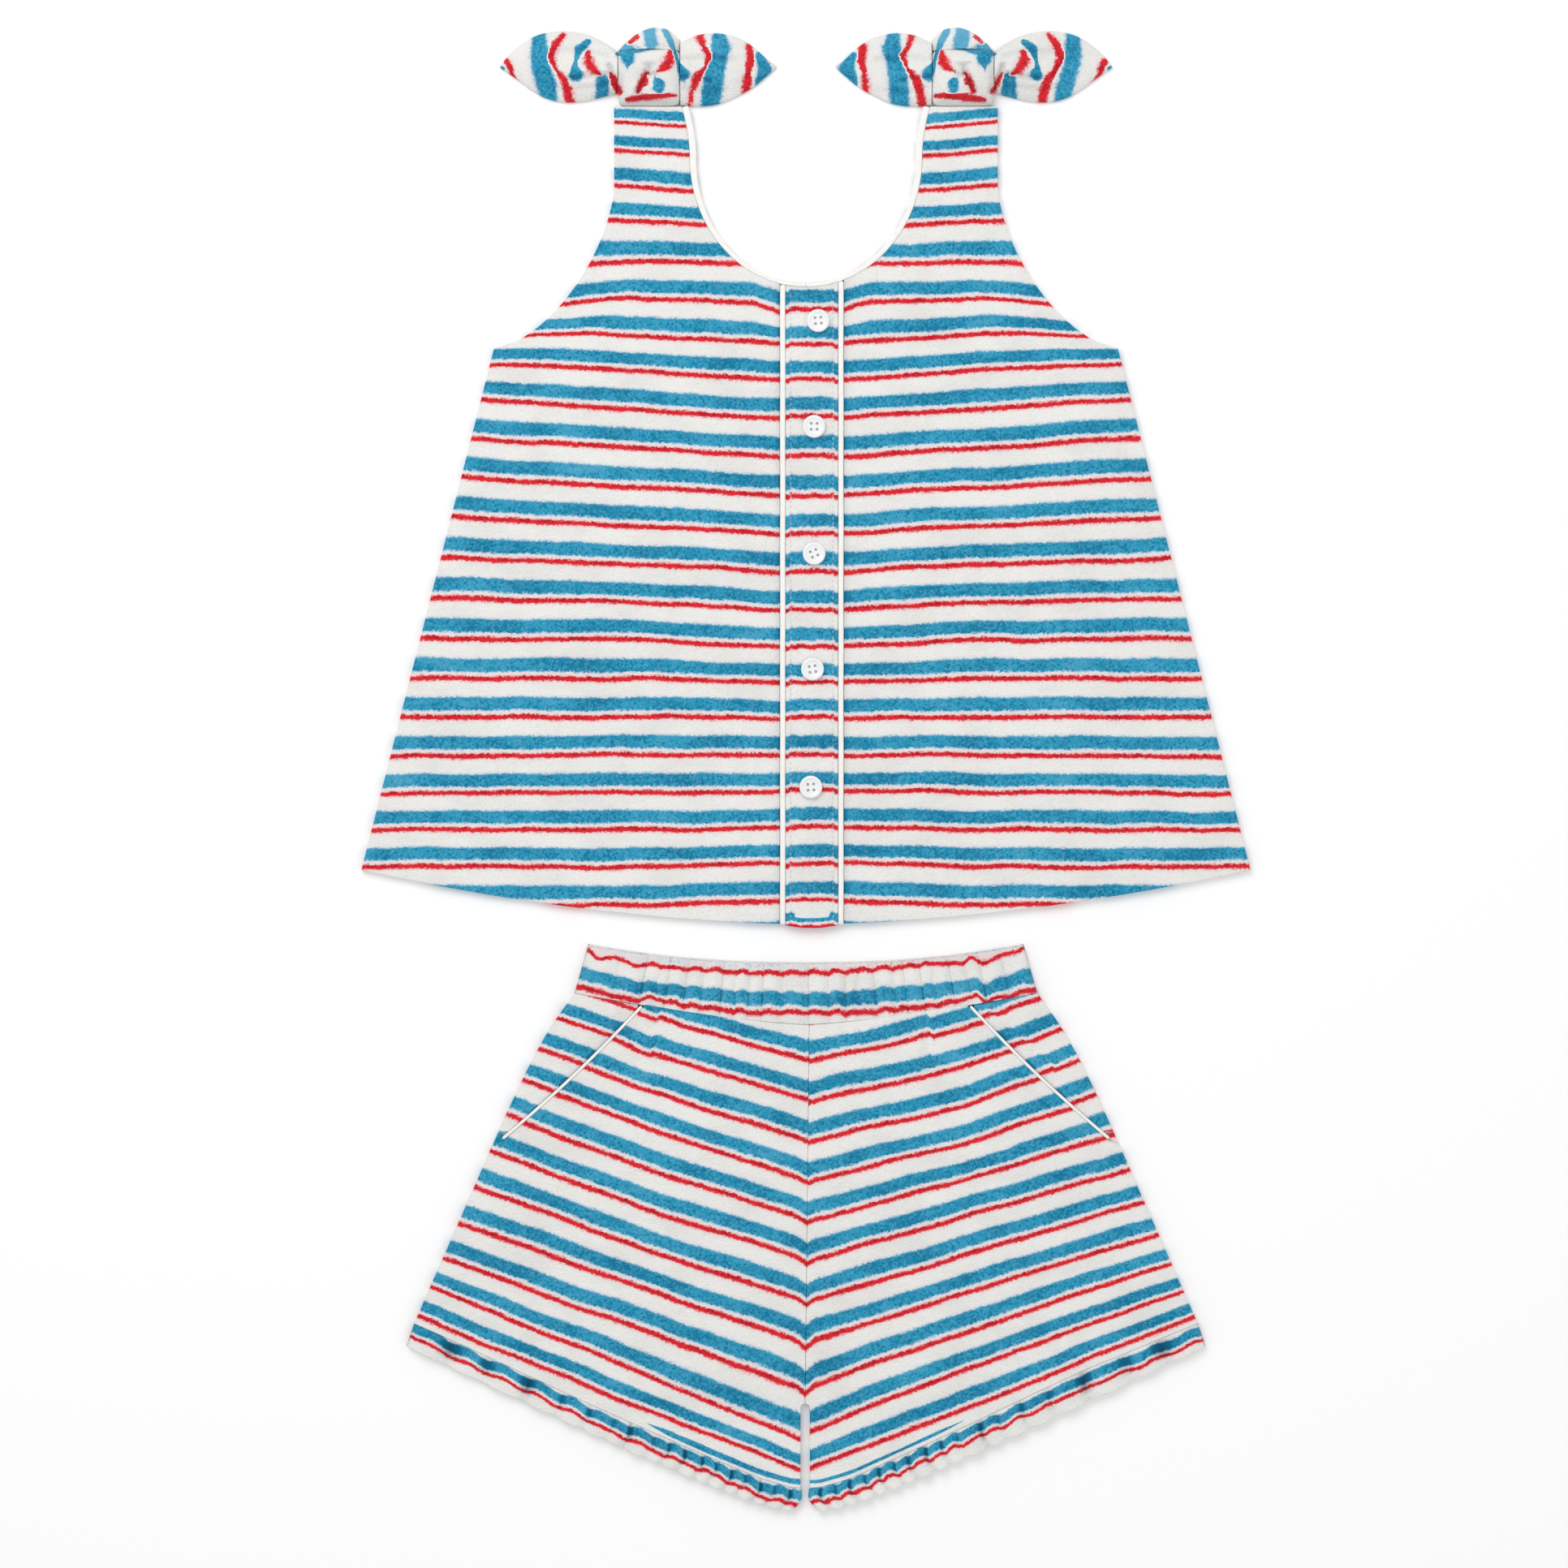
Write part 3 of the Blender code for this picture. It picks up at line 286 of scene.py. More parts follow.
# Gathers across the front waistband, left to right: (width, height, strength of the crease after it)
WAIST_GATHERS = (
    (17.0, 0.8, 0.3), (12.8, 1.4, 1.0), (7.2, 1.7, 0.1), (4.0, 1.2, 0.6), (8.8, 2.0, 0.6), (8.0, 1.9, 0.3),
    (9.2, 2.1, 0.9), (6.4, 1.6, 0.1), (6.4, 1.8, 0.6), (6.4, 1.6, 0.8), (9.6, 2.2, 0.2), (12.4, 2.0, 0.6),
    (9.6, 2.2, 0.4), (8.0, 1.9, 0.7), (6.0, 1.6, 0.2), (8.0, 2.0, 0.6), (9.6, 2.2, 0.3), (4.8, 1.3, 0.5),
    (8.0, 1.9, 0.8), (6.0, 1.6, 0.3), (8.0, 1.9, 0.7), (8.0, 1.8, 0.4), (6.4, 1.5, 0.9), (10.8, 1.3, 0.6),
    (12.6, 0.9, 0.3),
)
GATHER_SOFTNESS = 0.5
GATHER_FULLNESS = 0.9
GATHER_SAMPLES = 10
# At the seam the gathers are flatter, over a share of the waistband, and go on softly below it
GATHER_SEAM_SHARE = 0.4
GATHER_SEAM_RUN = 0.15
GATHER_BELOW_RUN = 12.0
# Painted shadows of a crease and of a gather's far side, with as much painted light on its near side, the
# height at which the first ends, and their share at the cloth's edges, on the waistband and on a frill
WAIST_SHADOWS = (0.3, 0.22, 0.5, 0.4)
FRILL_SHADOWS = (0.95, 0.3, 0.9, 0.15)
FRILL_SHADOW_START = 0.25
# Side of the shorts: (height, distance from the middle), and edge of the frills: (distance, height)
SHORTS_SIDE = ((-281.0, 196.4), (-211.0, 165.6), (-161.0, 143.4), (-131.0, 128.0), (-110.4, 114.0))
FRILL_EDGE = ((2.0, -365.0), (8.0, -365.0), (27.0, -360.6), (75.0, -341.0), (141.0, -311.0), (196.6, -284.8))
# A frill from the middle out: (distance, height of its seam and of its red stripe above its edge,
# first on the left leg and then on the right one)
FRILL_HEIGHTS = (
    (0.0, 10.9, 10.9, 4.0, 5.0), (17.0, 12.6, 12.6, 4.2, 5.2), (37.0, 13.8, 14.4, 5.4, 6.3),
    (77.0, 14.4, 16.0, 5.6, 7.4), (133.0, 14.4, 17.0, 6.5, 8.4), (165.0, 14.4, 15.4, 6.8, 6.8),
    (196.6, 13.6, 13.4, 7.2, 5.0),
)
FRILL_BLUE_ABOVE_RED = 5.0
# Its red stripe slants across each wave, wavers, and its counts grow with the wave's height
FRILL_HOOK = {-1: 0.8, 1: 2.0}
FRILL_WAVER = (0.5, 0.37)
FRILL_WAVE_SHIFT = 0.045
FRILL_WAVE_MIDDLE = 1.4
FRILL_SIDE_HALF = 193.6
CENTRE_SEAM_TOP_X = 1.6
CROTCH_X = -0.4
CROTCH_Y = -312.2
NOTCH_HALF = 2.3
NOTCH_ROUND = 2.6
SEAT_Y = -228.0
# Waves of a leg's frill from the inseam out: (width, height, strength of the crease after it)
FRILL_WAVES = (
    (6.0, 1.4, 0.8), (8.0, 2.0, 0.3), (7.0, 1.8, 0.9), (8.0, 2.2, 0.3), (7.0, 1.9, 0.8), (8.0, 2.1, 0.4),
    (7.0, 1.8, 0.7), (9.0, 2.2, 0.9), (8.0, 2.0, 0.5), (8.0, 1.8, 0.2), (12.0, 2.1, 0.9), (9.0, 1.6, 0.2),
    (12.0, 1.8, 0.4), (14.0, 1.7, 0.3), (17.0, 1.5, 0.9), (22.0, 1.2, 0.4), (18.0, 1.0, 0.8),
    (20.0, 0.9, 0.0),
)
FRILL_FULLNESS = 1.1
# Points across each wave and the step up the frill, in front and behind
FRILL_FRONT_MESH = (12, 0.9)
FRILL_BACK_MESH = (4, 2.5)
FRILL_SCALLOP = 1.0
FRILL_CORNER_ROUND = 4.0
FRILL_CORNER_BULGE = 2.4
FRILL_SEAM_SHARE = 0.35
# Pocket of the right leg: its slanted edge, the piping on it, and the side piece that shows inside it
POCKET_TOP = (80.8, -116.8)
POCKET_FOOT = (150.2, -182.8)
POCKET_BOW = 1.6
POCKET_SEAM_SHARE = -0.02
POCKET_PIPING_HALF = 0.75
POCKET_PIPING_HEIGHT = 2.2
POCKET_PIPING_SPAN = (0.0, 0.985)
POCKET_LIP = 0.9
POCKET_LIP_RUN = 12.0
POCKET_LIP_REACH = 16.0
POCKET_SIDE_SPAN = (0.94, 0.02)
# Rough size of the side piece, for spacing its points
POCKET_SIDE_LENGTH = 90.0
POCKET_SIDE_WIDTH = 30.0
POCKET_SIDE_STEP = 1.5
POCKET_SIDE_LOFT = 0.5
# Shadow that a pocket's edge throws, and the share of the side piece over which it fades
POCKET_SHADE = 0.5
POCKET_SHADE_REACH = 0.04

# Where the stripes lie.  A stripe count is whole on a red stripe and grows downwards.
BLUE_BEFORE_RED = 0.345
BLUE_HALF = 0.17
RED_HALF = 0.066
# Red stripes of the top: (count, height 77 mm from the middle, rise up to there, rise beyond it)
TOP_STRIPES = (
    (-1.0, 343.0, 0.07, 0.07), (0.0, 330.6, 0.07, 0.07), (2.0, 303.4, 0.07, 0.07),
    (3.0, 286.0, 0.065, 0.065), (4.0, 269.0, 0.04, 0.06), (5.0, 249.4, 0.02, 0.05),
    (6.0, 231.0, 0.035, 0.05), (7.0, 212.8, 0.054, 0.05), (8.0, 195.6, 0.068, 0.05),
    (9.0, 176.2, 0.056, 0.067), (10.0, 157.2, 0.06, 0.061), (12.0, 119.0, 0.057, 0.046),
    (14.0, 81.6, 0.055, 0.022), (16.0, 44.4, 0.032, 0.002), (18.0, 6.8, 0.003, -0.007),
    (20.0, -30.0, -0.017, 0.0), (21.0, -48.2, -0.036, 0.0), (22.0, -67.0, -0.04, 0.0),
    (24.0, -104.7, 0.03, 0.0),
)
TOP_STRIPE_X = 77.2
# The stripes sag towards the armholes and the band's head: (middle height, reach up and down, width, sag)
ARMHOLE_SAG = (231.0, 26.0, 32.0, 4.5)
BAND_HEAD_SAG = (224.0, 8.0, 14.0, 3.6)
# Red stripes of the button band: (count, height)
BAND_STRIPES = (
    (-1.0, 244.4), (0.0, 226.2), (3.0, 173.8), (5.0, 134.2), (9.0, 59.8), (11.0, 25.4), (16.0, -64.6),
    (17.0, -77.9), (18.0, -91.4),
)
BAND_FOOT_BLUE_Y = -73.7
BAND_FOOT_CORNER = -2.0
BAND_FOOT_WHITE_COUNT = 16.4
# The band's stripes drop by a height outside its stitching, over a run that starts a share inside it,
# and rise by another height close to the stitching
BAND_EDGE_DROP = 0.8
BAND_EDGE_RUN = 1.2
BAND_EDGE_START = 0.3
BAND_STITCH_RISE = 0.5
BAND_STITCH_REACH = 0.5
# They also waver: (height, turn for each mm across and for each mm up)
BAND_WAVER = (0.15, 0.7, 0.2)
# Red stripes of the legs: (count, height 17 mm from the middle, height at 77 mm, rise for each mm beyond)
LEG_STRIPES = {
    "left": (
        (-3.0, -82.0, -66.0, 0.33), (0.0, -138.6, -121.8, 0.33), (1.0, -157.4, -139.8, 0.36),
        (3.0, -196.8, -177.2, 0.38), (5.0, -236.0, -217.0, 0.37), (7.0, -277.0, -257.0, 0.36),
        (8.0, -299.0, -277.0, 0.355), (9.0, -324.2, -298.6, 0.404), (10.0, -339.4, -315.8, 0.404),
        (11.0, -358.0, -335.0, 0.404), (12.0, -377.0, -354.0, 0.404),
    ),
    "right": (
        (-3.0, -84.0, -71.0, 0.33), (0.0, -140.6, -127.8, 0.33), (1.0, -160.6, -146.6, 0.33),
        (2.0, -179.8, -166.2, 0.36), (4.0, -218.2, -202.6, 0.31), (5.0, -237.4, -220.6, 0.285),
        (7.0, -277.0, -258.2, 0.3), (8.0, -298.6, -277.8, 0.335), (9.0, -320.2, -295.8, 0.36),
        (10.0, -338.2, -315.0, 0.404), (11.0, -357.6, -334.4, 0.404), (12.0, -377.0, -353.6, 0.404),
    ),
}
LEG_INNER_X = 17.0
LEG_BEND_X = 77.0
# Close to the centre seam a leg's stripes dip, more with each count, and less below the crotch
LEG_POINT_X = 4.5
LEG_POINT = 0.07
LEG_POINT_END = 12.0
# How much higher the stripes lie on the side piece of a pocket
POCKET_STRIPE_RISE = {"left": 1.0, "right": 2.2}
# Below its last white stripe a leg shows a thin blue line, at a height above the frill's seam
LAST_WHITE_COUNT = 10.3
LAST_WHITE_HEIGHT = 5.6
LAST_BLUE_COUNT = 10.655
LAST_BLUE_HEIGHT = 3.1
LAST_BLUE_HALF = {"left": 1.4, "right": 0.9}
LAST_BLUE_REACH = 79.0
LAST_BLUE_TAPER = 12.0
LAST_BLUE_LEAST = 0.05
# The rows of points are closer at a leg's foot, by a share of the usual step
FOOT_STEP_SHARE = 0.35
# Creases where the stripes jog, lower on the outer side: (x, y) to (x, y), reach, jog
STRIPE_JOGS = (
    (-72.0, -120.0, -76.0, -137.0, 9.0, 0.9), (60.0, -121.0, 62.0, -133.0, 9.0, 0.9),
    (86.0, -114.6, 122.0, -145.4, 6.0, 0.7),
)
JOG_WIDTH = 0.6
# Stripes of the waistband, as shares up it: (distance from the middle, top red, blue, lower red)
WAIST_STRIPES = {
    "left": (
        (0.0, 0.86, 0.42, 0.2), (33.0, 0.85, 0.41, 0.145), (50.0, 0.84, 0.39, 0.13),
        (65.0, 0.825, 0.38, 0.13), (76.0, 0.84, 0.38, 0.18), (80.0, 0.8, 0.37, 0.13),
        (85.0, 0.775, 0.36, 0.07), (94.0, 0.885, 0.4, 0.09), (101.6, 0.76, 0.41, 0.11),
        (107.2, 0.935, 0.42, 0.126),
    ),
    "right": (
        (0.0, 0.87, 0.42, 0.2), (33.0, 0.87, 0.4, 0.14), (50.0, 0.88, 0.385, 0.1),
        (62.0, 0.9, 0.37, 0.1), (76.0, 0.853, 0.375, 0.125), (81.0, 0.93, 0.36, 0.15),
        (84.0, 0.86, 0.34, 0.15), (87.5, 0.775, 0.25, 0.05), (92.0, 0.83, 0.25, 0.04),
        (98.0, 0.92, 0.32, 0.05), (104.0, 0.9, 0.37, 0.065), (107.2, 0.96, 0.39, 0.09),
    ),
}
# Above the top red stripe the count falls by a rate, down to the narrow white
WAIST_TOP_RATE = 1.6
WAIST_TOP_WHITE = -0.12
# Over a gather taller than this the stripes arch up, by a share of the waistband for each mm
WAIST_ARCH_FROM = 1.2
WAIST_ARCH = 0.016
# They waver too: (share of the waistband, turn for each mm across)
WAIST_WAVER = (0.012, 0.55)
# Distances from the middle between which the back's blue shows over the front
BACK_BLUE_SHOWS = (78.0, 98.0)
BACK_BLUE_COUNT = 0.45

# Soft folds of a front of the top, right side: (x, y) to (x, y), half width, height
TOP_FOLDS = (
    (150.0, 190.0, 90.0, 120.0, 12.0, 0.5), (60.0, 230.0, 70.0, 120.0, 10.0, -0.4),
    (78.0, 300.0, 84.0, 225.0, 7.0, 0.5), (110.0, 150.0, 130.0, -30.0, 16.0, 0.6),
    (168.0, 110.0, 192.0, -30.0, 14.0, 0.5), (60.0, 90.0, 66.0, -60.0, 14.0, 0.6),
    (88.0, 60.0, 96.0, -55.0, 9.0, -0.5), (148.0, 60.0, 160.0, -40.0, 9.0, -0.4),
    (34.0, 190.0, 38.0, 40.0, 9.0, 0.4), (190.0, 40.0, 206.0, -30.0, 7.0, -0.3),
)
# Soft folds of a leg, right side, in the same columns
LEG_FOLDS = (
    (57.0, -124.0, 52.0, -146.0, 3.2, 1.1), (62.5, -126.0, 60.0, -150.0, 2.6, -0.7),
    (30.0, -128.0, 34.0, -150.0, 6.0, 0.7), (90.0, -150.0, 110.0, -262.0, 13.0, 0.7),
    (50.0, -160.0, 66.0, -300.0, 12.0, 0.6), (20.0, -180.0, 34.0, -290.0, 9.0, -0.5),
    (8.0, -200.0, 12.0, -300.0, 5.0, 0.6), (130.0, -200.0, 160.0, -282.0, 11.0, 0.6),
    (112.0, -220.0, 128.0, -292.0, 8.0, -0.5), (84.0, -240.0, 92.0, -318.0, 9.0, 0.5),
)
# Creases of a pocket's side piece, in the same columns
POCKET_FOLDS = (
    (86.0, -111.5, 107.0, -133.0, 2.4, 1.0), (107.0, -133.0, 122.0, -147.0, 2.2, 0.8),
    (96.0, -112.0, 118.0, -126.0, 3.0, -0.5), (112.0, -122.0, 132.0, -146.0, 4.0, 0.5),
)

# The camera looks straight down on the middle of the photo, which is this wide on the surface
CAMERA_X = -10.8
CAMERA_Y = -7.4
PHOTO_WIDTH = 772.8
LENS = 100.0
SENSOR = 36.0
# The floor lies just below the set.  Its half width, and the lights, are in metres.
FLOOR_HALF = 4.0
FLOOR_DROP = 0.0002
# Name, place, size and power in watts of each light
LIGHTS = (("key", (-0.55, 0.95, 1.5), 1.1, 13.0), ("fill", (0.9, -0.5, 1.7), 1.6, 4.0))
SKY_STRENGTH = 0.72


def clamp(value):
    """The value kept between 0 and 1."""
    return min(1.0, max(0.0, value))


def mix(start, end, share):
    """The point or number that lies a share of the way from start to end."""
    if isinstance(start, tuple):
        return tuple(mix(a, b, share) for a, b in zip(start, end))
    return start + (end - start) * share


def spread(start, end, steps):
    """Evenly spaced values from start to end, both included."""
    return [mix(start, end, step / steps) for step in range(steps + 1)]


def section(start, end, step, rolled=(False, False)):
    """Values from start to end about a step apart, crowded where an edge of the cloth rolls over."""
    length = abs(end - start)
    roll = [EDGE_REACH * share / length for share in EDGE_SHARES]
    low, high = (roll[-1] if side else 0.0 for side in rolled)
    shares = spread(low, 1 - high, max(1, round((1 - low - high) * length / step)))
    if rolled[0]:
        shares = roll[:-1] + shares
    if rolled[1]:
        shares += [1 - share for share in reversed(roll[:-1])]
    return [mix(start, end, share) for share in shares]


def read_curve(table, value, column=1):
    """Read a column of a table whose first column rises, along a smooth curve through its rows."""
    last = len(table) - 1
    row = max(i for i in range(last) if i == 0 or table[i][0] <= value)

    def slope(i):
        before, after = max(0, i - 1), min(last, i + 1)
        return (table[after][column] - table[before][column]) / (table[after][0] - table[before][0])

    width = table[row + 1][0] - table[row][0]
    t = clamp((value - table[row][0]) / width)
    start_weight = 2 * t**3 - 3 * t**2 + 1
    return (
        start_weight * table[row][column]
        + (1 - start_weight) * table[row + 1][column]
        + (t**3 - 2 * t**2 + t) * width * slope(row)
        + (t**3 - t**2) * width * slope(row + 1)
    )


def lay_out(left, right, bottom, top):
    """Rows of (x, y, u, v) over a piece, from its four cut edges."""
    rows, columns = len(left), len(bottom)
    run = [0.0]
    for row in range(1, rows):
        run.append(run[-1] + math.dist(left[row], left[row - 1]) + math.dist(right[row], right[row - 1]))
    across = [0.0]
    for column in range(1, columns):
        across.append(across[-1] + math.dist(bottom[column], bottom[column - 1]))
    plan = []
    for row in range(rows):
        v = run[row] / run[-1]
        points = []
        for column in range(columns):
            u = across[column] / across[-1]
            point = []
            for axis in (0, 1):
                sides = mix(left[row][axis], right[row][axis], u)
                foot = bottom[column][axis] - mix(bottom[0][axis], bottom[-1][axis], u)
                head = top[column][axis] - mix(top[0][axis], top[-1][axis], u)
                point.append(sides + (1 - v) * foot + v * head)
            points.append((point[0], point[1], u, v))
        plan.append(points)
    return plan


def section_shares(length, step):
    """Shares of a length about a step apart, crowded at both ends, which are edges of the cloth."""
    return [run / length for run in section(0, length, step, (True, True))]


def lay_between(bottom, top, shares):
    """The plan of a piece with straight sides, between its lower and its upper edge."""
    left = [mix(bottom[0], top[0], share) for share in shares]
    right = [mix(bottom[-1], top[-1], share) for share in shares]
    return lay_out(left, right, bottom, top)


def mirrored(plan):
    """The same piece for the other side of the body."""
    return [[(-x, y, u, v) for x, y, u, v in reversed(points)] for points in plan]


def with_gathers(plan, gathers):
    """The plan with each column's gather, as its height, crease and turn, put in place of u."""
    return [[(x, y, gathers[i], v) for i, (x, y, u, v) in enumerate(points)] for points in plan]


def line_length(points):
    """Length of a line of plan points."""
    return sum(math.dist(before[:2], after[:2]) for before, after in zip(points, points[1:]))


def plan_area(plan):
    """Area of the cloth that a plan covers, in square metres."""
    total = 0.0
    for low, high in zip(plan, plan[1:]):
        for i in range(len(low) - 1):
            a, b, c, d = low[i], low[i + 1], high[i + 1], high[i]
            total += abs((c[0] - a[0]) * (d[1] - b[1]) - (d[0] - b[0]) * (c[1] - a[1])) / 2
    return total * MM * MM


def swell(share, fullness=0.7):
    """A soft rise from 0 at both ends of a share of 0 to 1 to 1 in the middle."""
    return math.sin(math.pi * clamp(share)) ** fullness if 0 < share < 1 else 0.0


def fold_columns(folds, samples, fullness):
    """Shares across a gathered strip, and the (height, crease, turn) of the cloth at each one.

    The turn runs from -0.5 at the start of each fold to 0.5 at its end.
    """
    total = sum(width for width, height, crease in folds)
    shares, gathers = [0.0], [(0.0, 0.0, -0.5)]
    start, crease_before = 0.0, 0.0
    for width, height, crease_after in folds:
        for sample in range(1, samples + 1):
            share = sample / samples
            shares.append((start + width * share) / total)
            crease = crease_before if share < 0.5 else crease_after
            gathers.append((height * swell(share, fullness), crease, share - 0.5))
        start += width
        crease_before = crease_after
    return shares, gathers


def along_line(x, y, start, end):
    """How far a point lies from a line between two points, and its share of the way along."""
    run_x, run_y = end[0] - start[0], end[1] - start[1]
    length = run_x * run_x + run_y * run_y
    share = clamp(((x - start[0]) * run_x + (y - start[1]) * run_y) / length)
    return math.hypot(x - start[0] - share * run_x, y - start[1] - share * run_y), share


def fold_relief(folds, x, y):
    """Height of the soft folds at a point: ridges above 0, troughs below."""
    relief = 0.0
    for start_x, start_y, end_x, end_y, half, height in folds:
        away, share = along_line(x, y, (start_x, start_y), (end_x, end_y))
        if away < 3 * half:
            fade = math.sin(math.pi * (0.08 + 0.84 * share))
            relief += height * fade * math.exp(-((away / half) ** 2))
    return relief


def pile_relief(x, y):
    """Small unevenness of the pile, from brushing and wear."""
    spot = Vector((x, y, 0.0)) / PILE_SWELL_SIZE
    return PILE_SWELL * (noise.noise(spot) + 0.5 * noise.noise(spot * PILE_FINER))


# Materials


class Socket:
    """An output in a material, on which Python's operators add Math nodes."""

    def __init__(self, finish, output):
        self.finish = finish
        self.output = output

    def pick(self, name):
        """Another output of the same node."""
        return Socket(self.finish, self.output.node.outputs[name])

    def maths(self, operation, *values):
        return self.finish.node("ShaderNodeMath", {"operation": operation}, dict(enumerate(values)))

    def __add__(self, other):
        return self.maths("ADD", self, other)

    def __radd__(self, other):
        return self.maths("ADD", other, self)

    def __sub__(self, other):
        return self.maths("SUBTRACT", self, other)

    def __rsub__(self, other):
        return self.maths("SUBTRACT", other, self)

    def __mul__(self, other):
        return self.maths("MULTIPLY", self, other)

    def __rmul__(self, other):
        return self.maths("MULTIPLY", other, self)

    def fraction(self):
        return self.maths("FRACT", self)

    def rise(self, low, high):
        """0 below low, 1 above high, and a soft step between them."""
        settings = {"interpolation_type": "SMOOTHSTEP"}
        return self.finish.node("ShaderNodeMapRange", settings, {0: self, 1: low, 2: high, 3: 0.0, 4: 1.0})


class Finish:
    """A material made in code, with one method that adds any node but the operators' own."""

    def __init__(self, name, constants):
        self.material = bpy.data.materials.new(name)
        self.material.use_nodes = True
        self.tree = self.material.node_tree
        self.shader = self.tree.nodes["Principled BSDF"]
        for socket, value in constants.items():
            self.shader.inputs[socket].default_value = value

    def node(self, kind, settings, inputs, output=0):
        made = self.tree.nodes.new(kind)
        for name, value in settings.items():
            setattr(made, name, value)
        for key, value in inputs.items():
            if isinstance(value, Socket):
                self.tree.links.new(value.output, made.inputs[key])
            else:
                made.inputs[key].default_value = value
        return Socket(self, made.outputs[output])

    def place(self):
        """Where a point lies on the set, in metres."""
        return self.node("ShaderNodeTexCoord", {}, {}, "Object")

    def mottle(self, place, size, detail=2.0, stretch=(1.0, 1.0, 1.0)):
        """Soft noise from -0.5 to 0.5 about a size in millimetres."""
        scaled = self.node("ShaderNodeVectorMath", {"operation": "MULTIPLY"}, {0: place, 1: stretch})
        inputs = {"Vector": scaled, "Scale": 1 / (size * MM), "Detail": detail, "Roughness": 0.6}
        return self.node("ShaderNodeTexNoise", {}, inputs) - 0.5

    def blend(self, share, first, second, blend_type="MIX"):
        """The first colour with a share of the second over it."""
        settings = {"data_type": "RGBA", "blend_type": blend_type}
        return self.node("ShaderNodeMix", settings, {0: share, 6: first, 7: second}, 2)

    def layered(self, colour, layers):
        """A colour under layers of (value, low, high, strength, colour), each where its value is high."""
        for value, low, high, strength, over in layers:
            colour = self.blend(value.rise(low, high) * strength, colour, over)
        return colour

    def paint(self, colour):
        self.tree.links.new(colour.output, self.shader.inputs["Base Color"])

    def raise_pile(self, height, distance, strength):
        """Bumps of a height from 0 to 1 times a distance in millimetres."""
        inputs = {"Height": height, "Distance": distance * MM, "Strength": strength}
        bump = self.node("ShaderNodeBump", {}, inputs)
        self.tree.links.new(bump.output, self.shader.inputs["Normal"])


def seen(red, green, blue):
    """A colour as it is seen, from 0 to 255, as the shader's own light values."""
    linear = []
    for value in (red, green, blue):
        share = value / 255
        linear.append(share / 12.92 if share <= 0.04045 else ((share + 0.055) / 1.055) ** 2.4)
    return (*linear, 1.0)


GROUND = seen(234, 233, 230)
GROUND_SHADE = seen(219, 218, 215)
PINK_HALO = seen(236, 196, 198)
BLUE_HALO = seen(196, 212, 226)
RED = seen(218, 38, 48)
RED_DEEP = seen(184, 18, 34)
BLUE = seen(44, 151, 187)
BLUE_DEEP = seen(0, 110, 148)
BLUE_PALE = seen(104, 176, 206)
# Colour of the painted shade that is multiplied into the towelling
CREASE_SHADE = (0.16, 0.18, 0.22, 1.0)
# Where a red stripe lies in the fraction of the count, so that no stripe is split at 0
STRIPE_START = 0.69
# Size of the ribs in white tape and thread
TAPE_RIB = 3.2
# Size of the loops, sizes of the noise in the dye, and how far each moves the stripes, in counts
LOOP_SIZE = 1.0
DRIFT_SIZE = 40.0
WAVER_SIZE = 6.0
SPECK_SIZE = 1.1
PATCH_SIZE = 15.0
PATCH_STRETCH = (0.6, 1.0, 1.0)
DRIFT_STRAY = 0.16
WAVER_STRAY = 0.06
LOOP_STRAY = 0.04
SPECK_STRAY = 0.03
# How much wider a stripe's halo is on each side, and how soft the edges of halo and stripe are
HALO_WIDER = 0.035
BLUE_HALO_SOFT = 0.06
PINK_HALO_SOFT = 0.055
BLUE_SOFT = 0.035
RED_SOFT = 0.03
BLUE_HALO_STRENGTH = 0.85
PINK_HALO_STRENGTH = 0.9
# Above this value the painted shade also darkens the blue, by a rate, and below zero the blue pales by
# another: painted light on the lit side of each gather, and a paler blue over a bow's loop
BLUE_SHADE_FROM = 0.04
BLUE_SHADE_RATE = 5.0
BLUE_PALING_RATE = 2.5


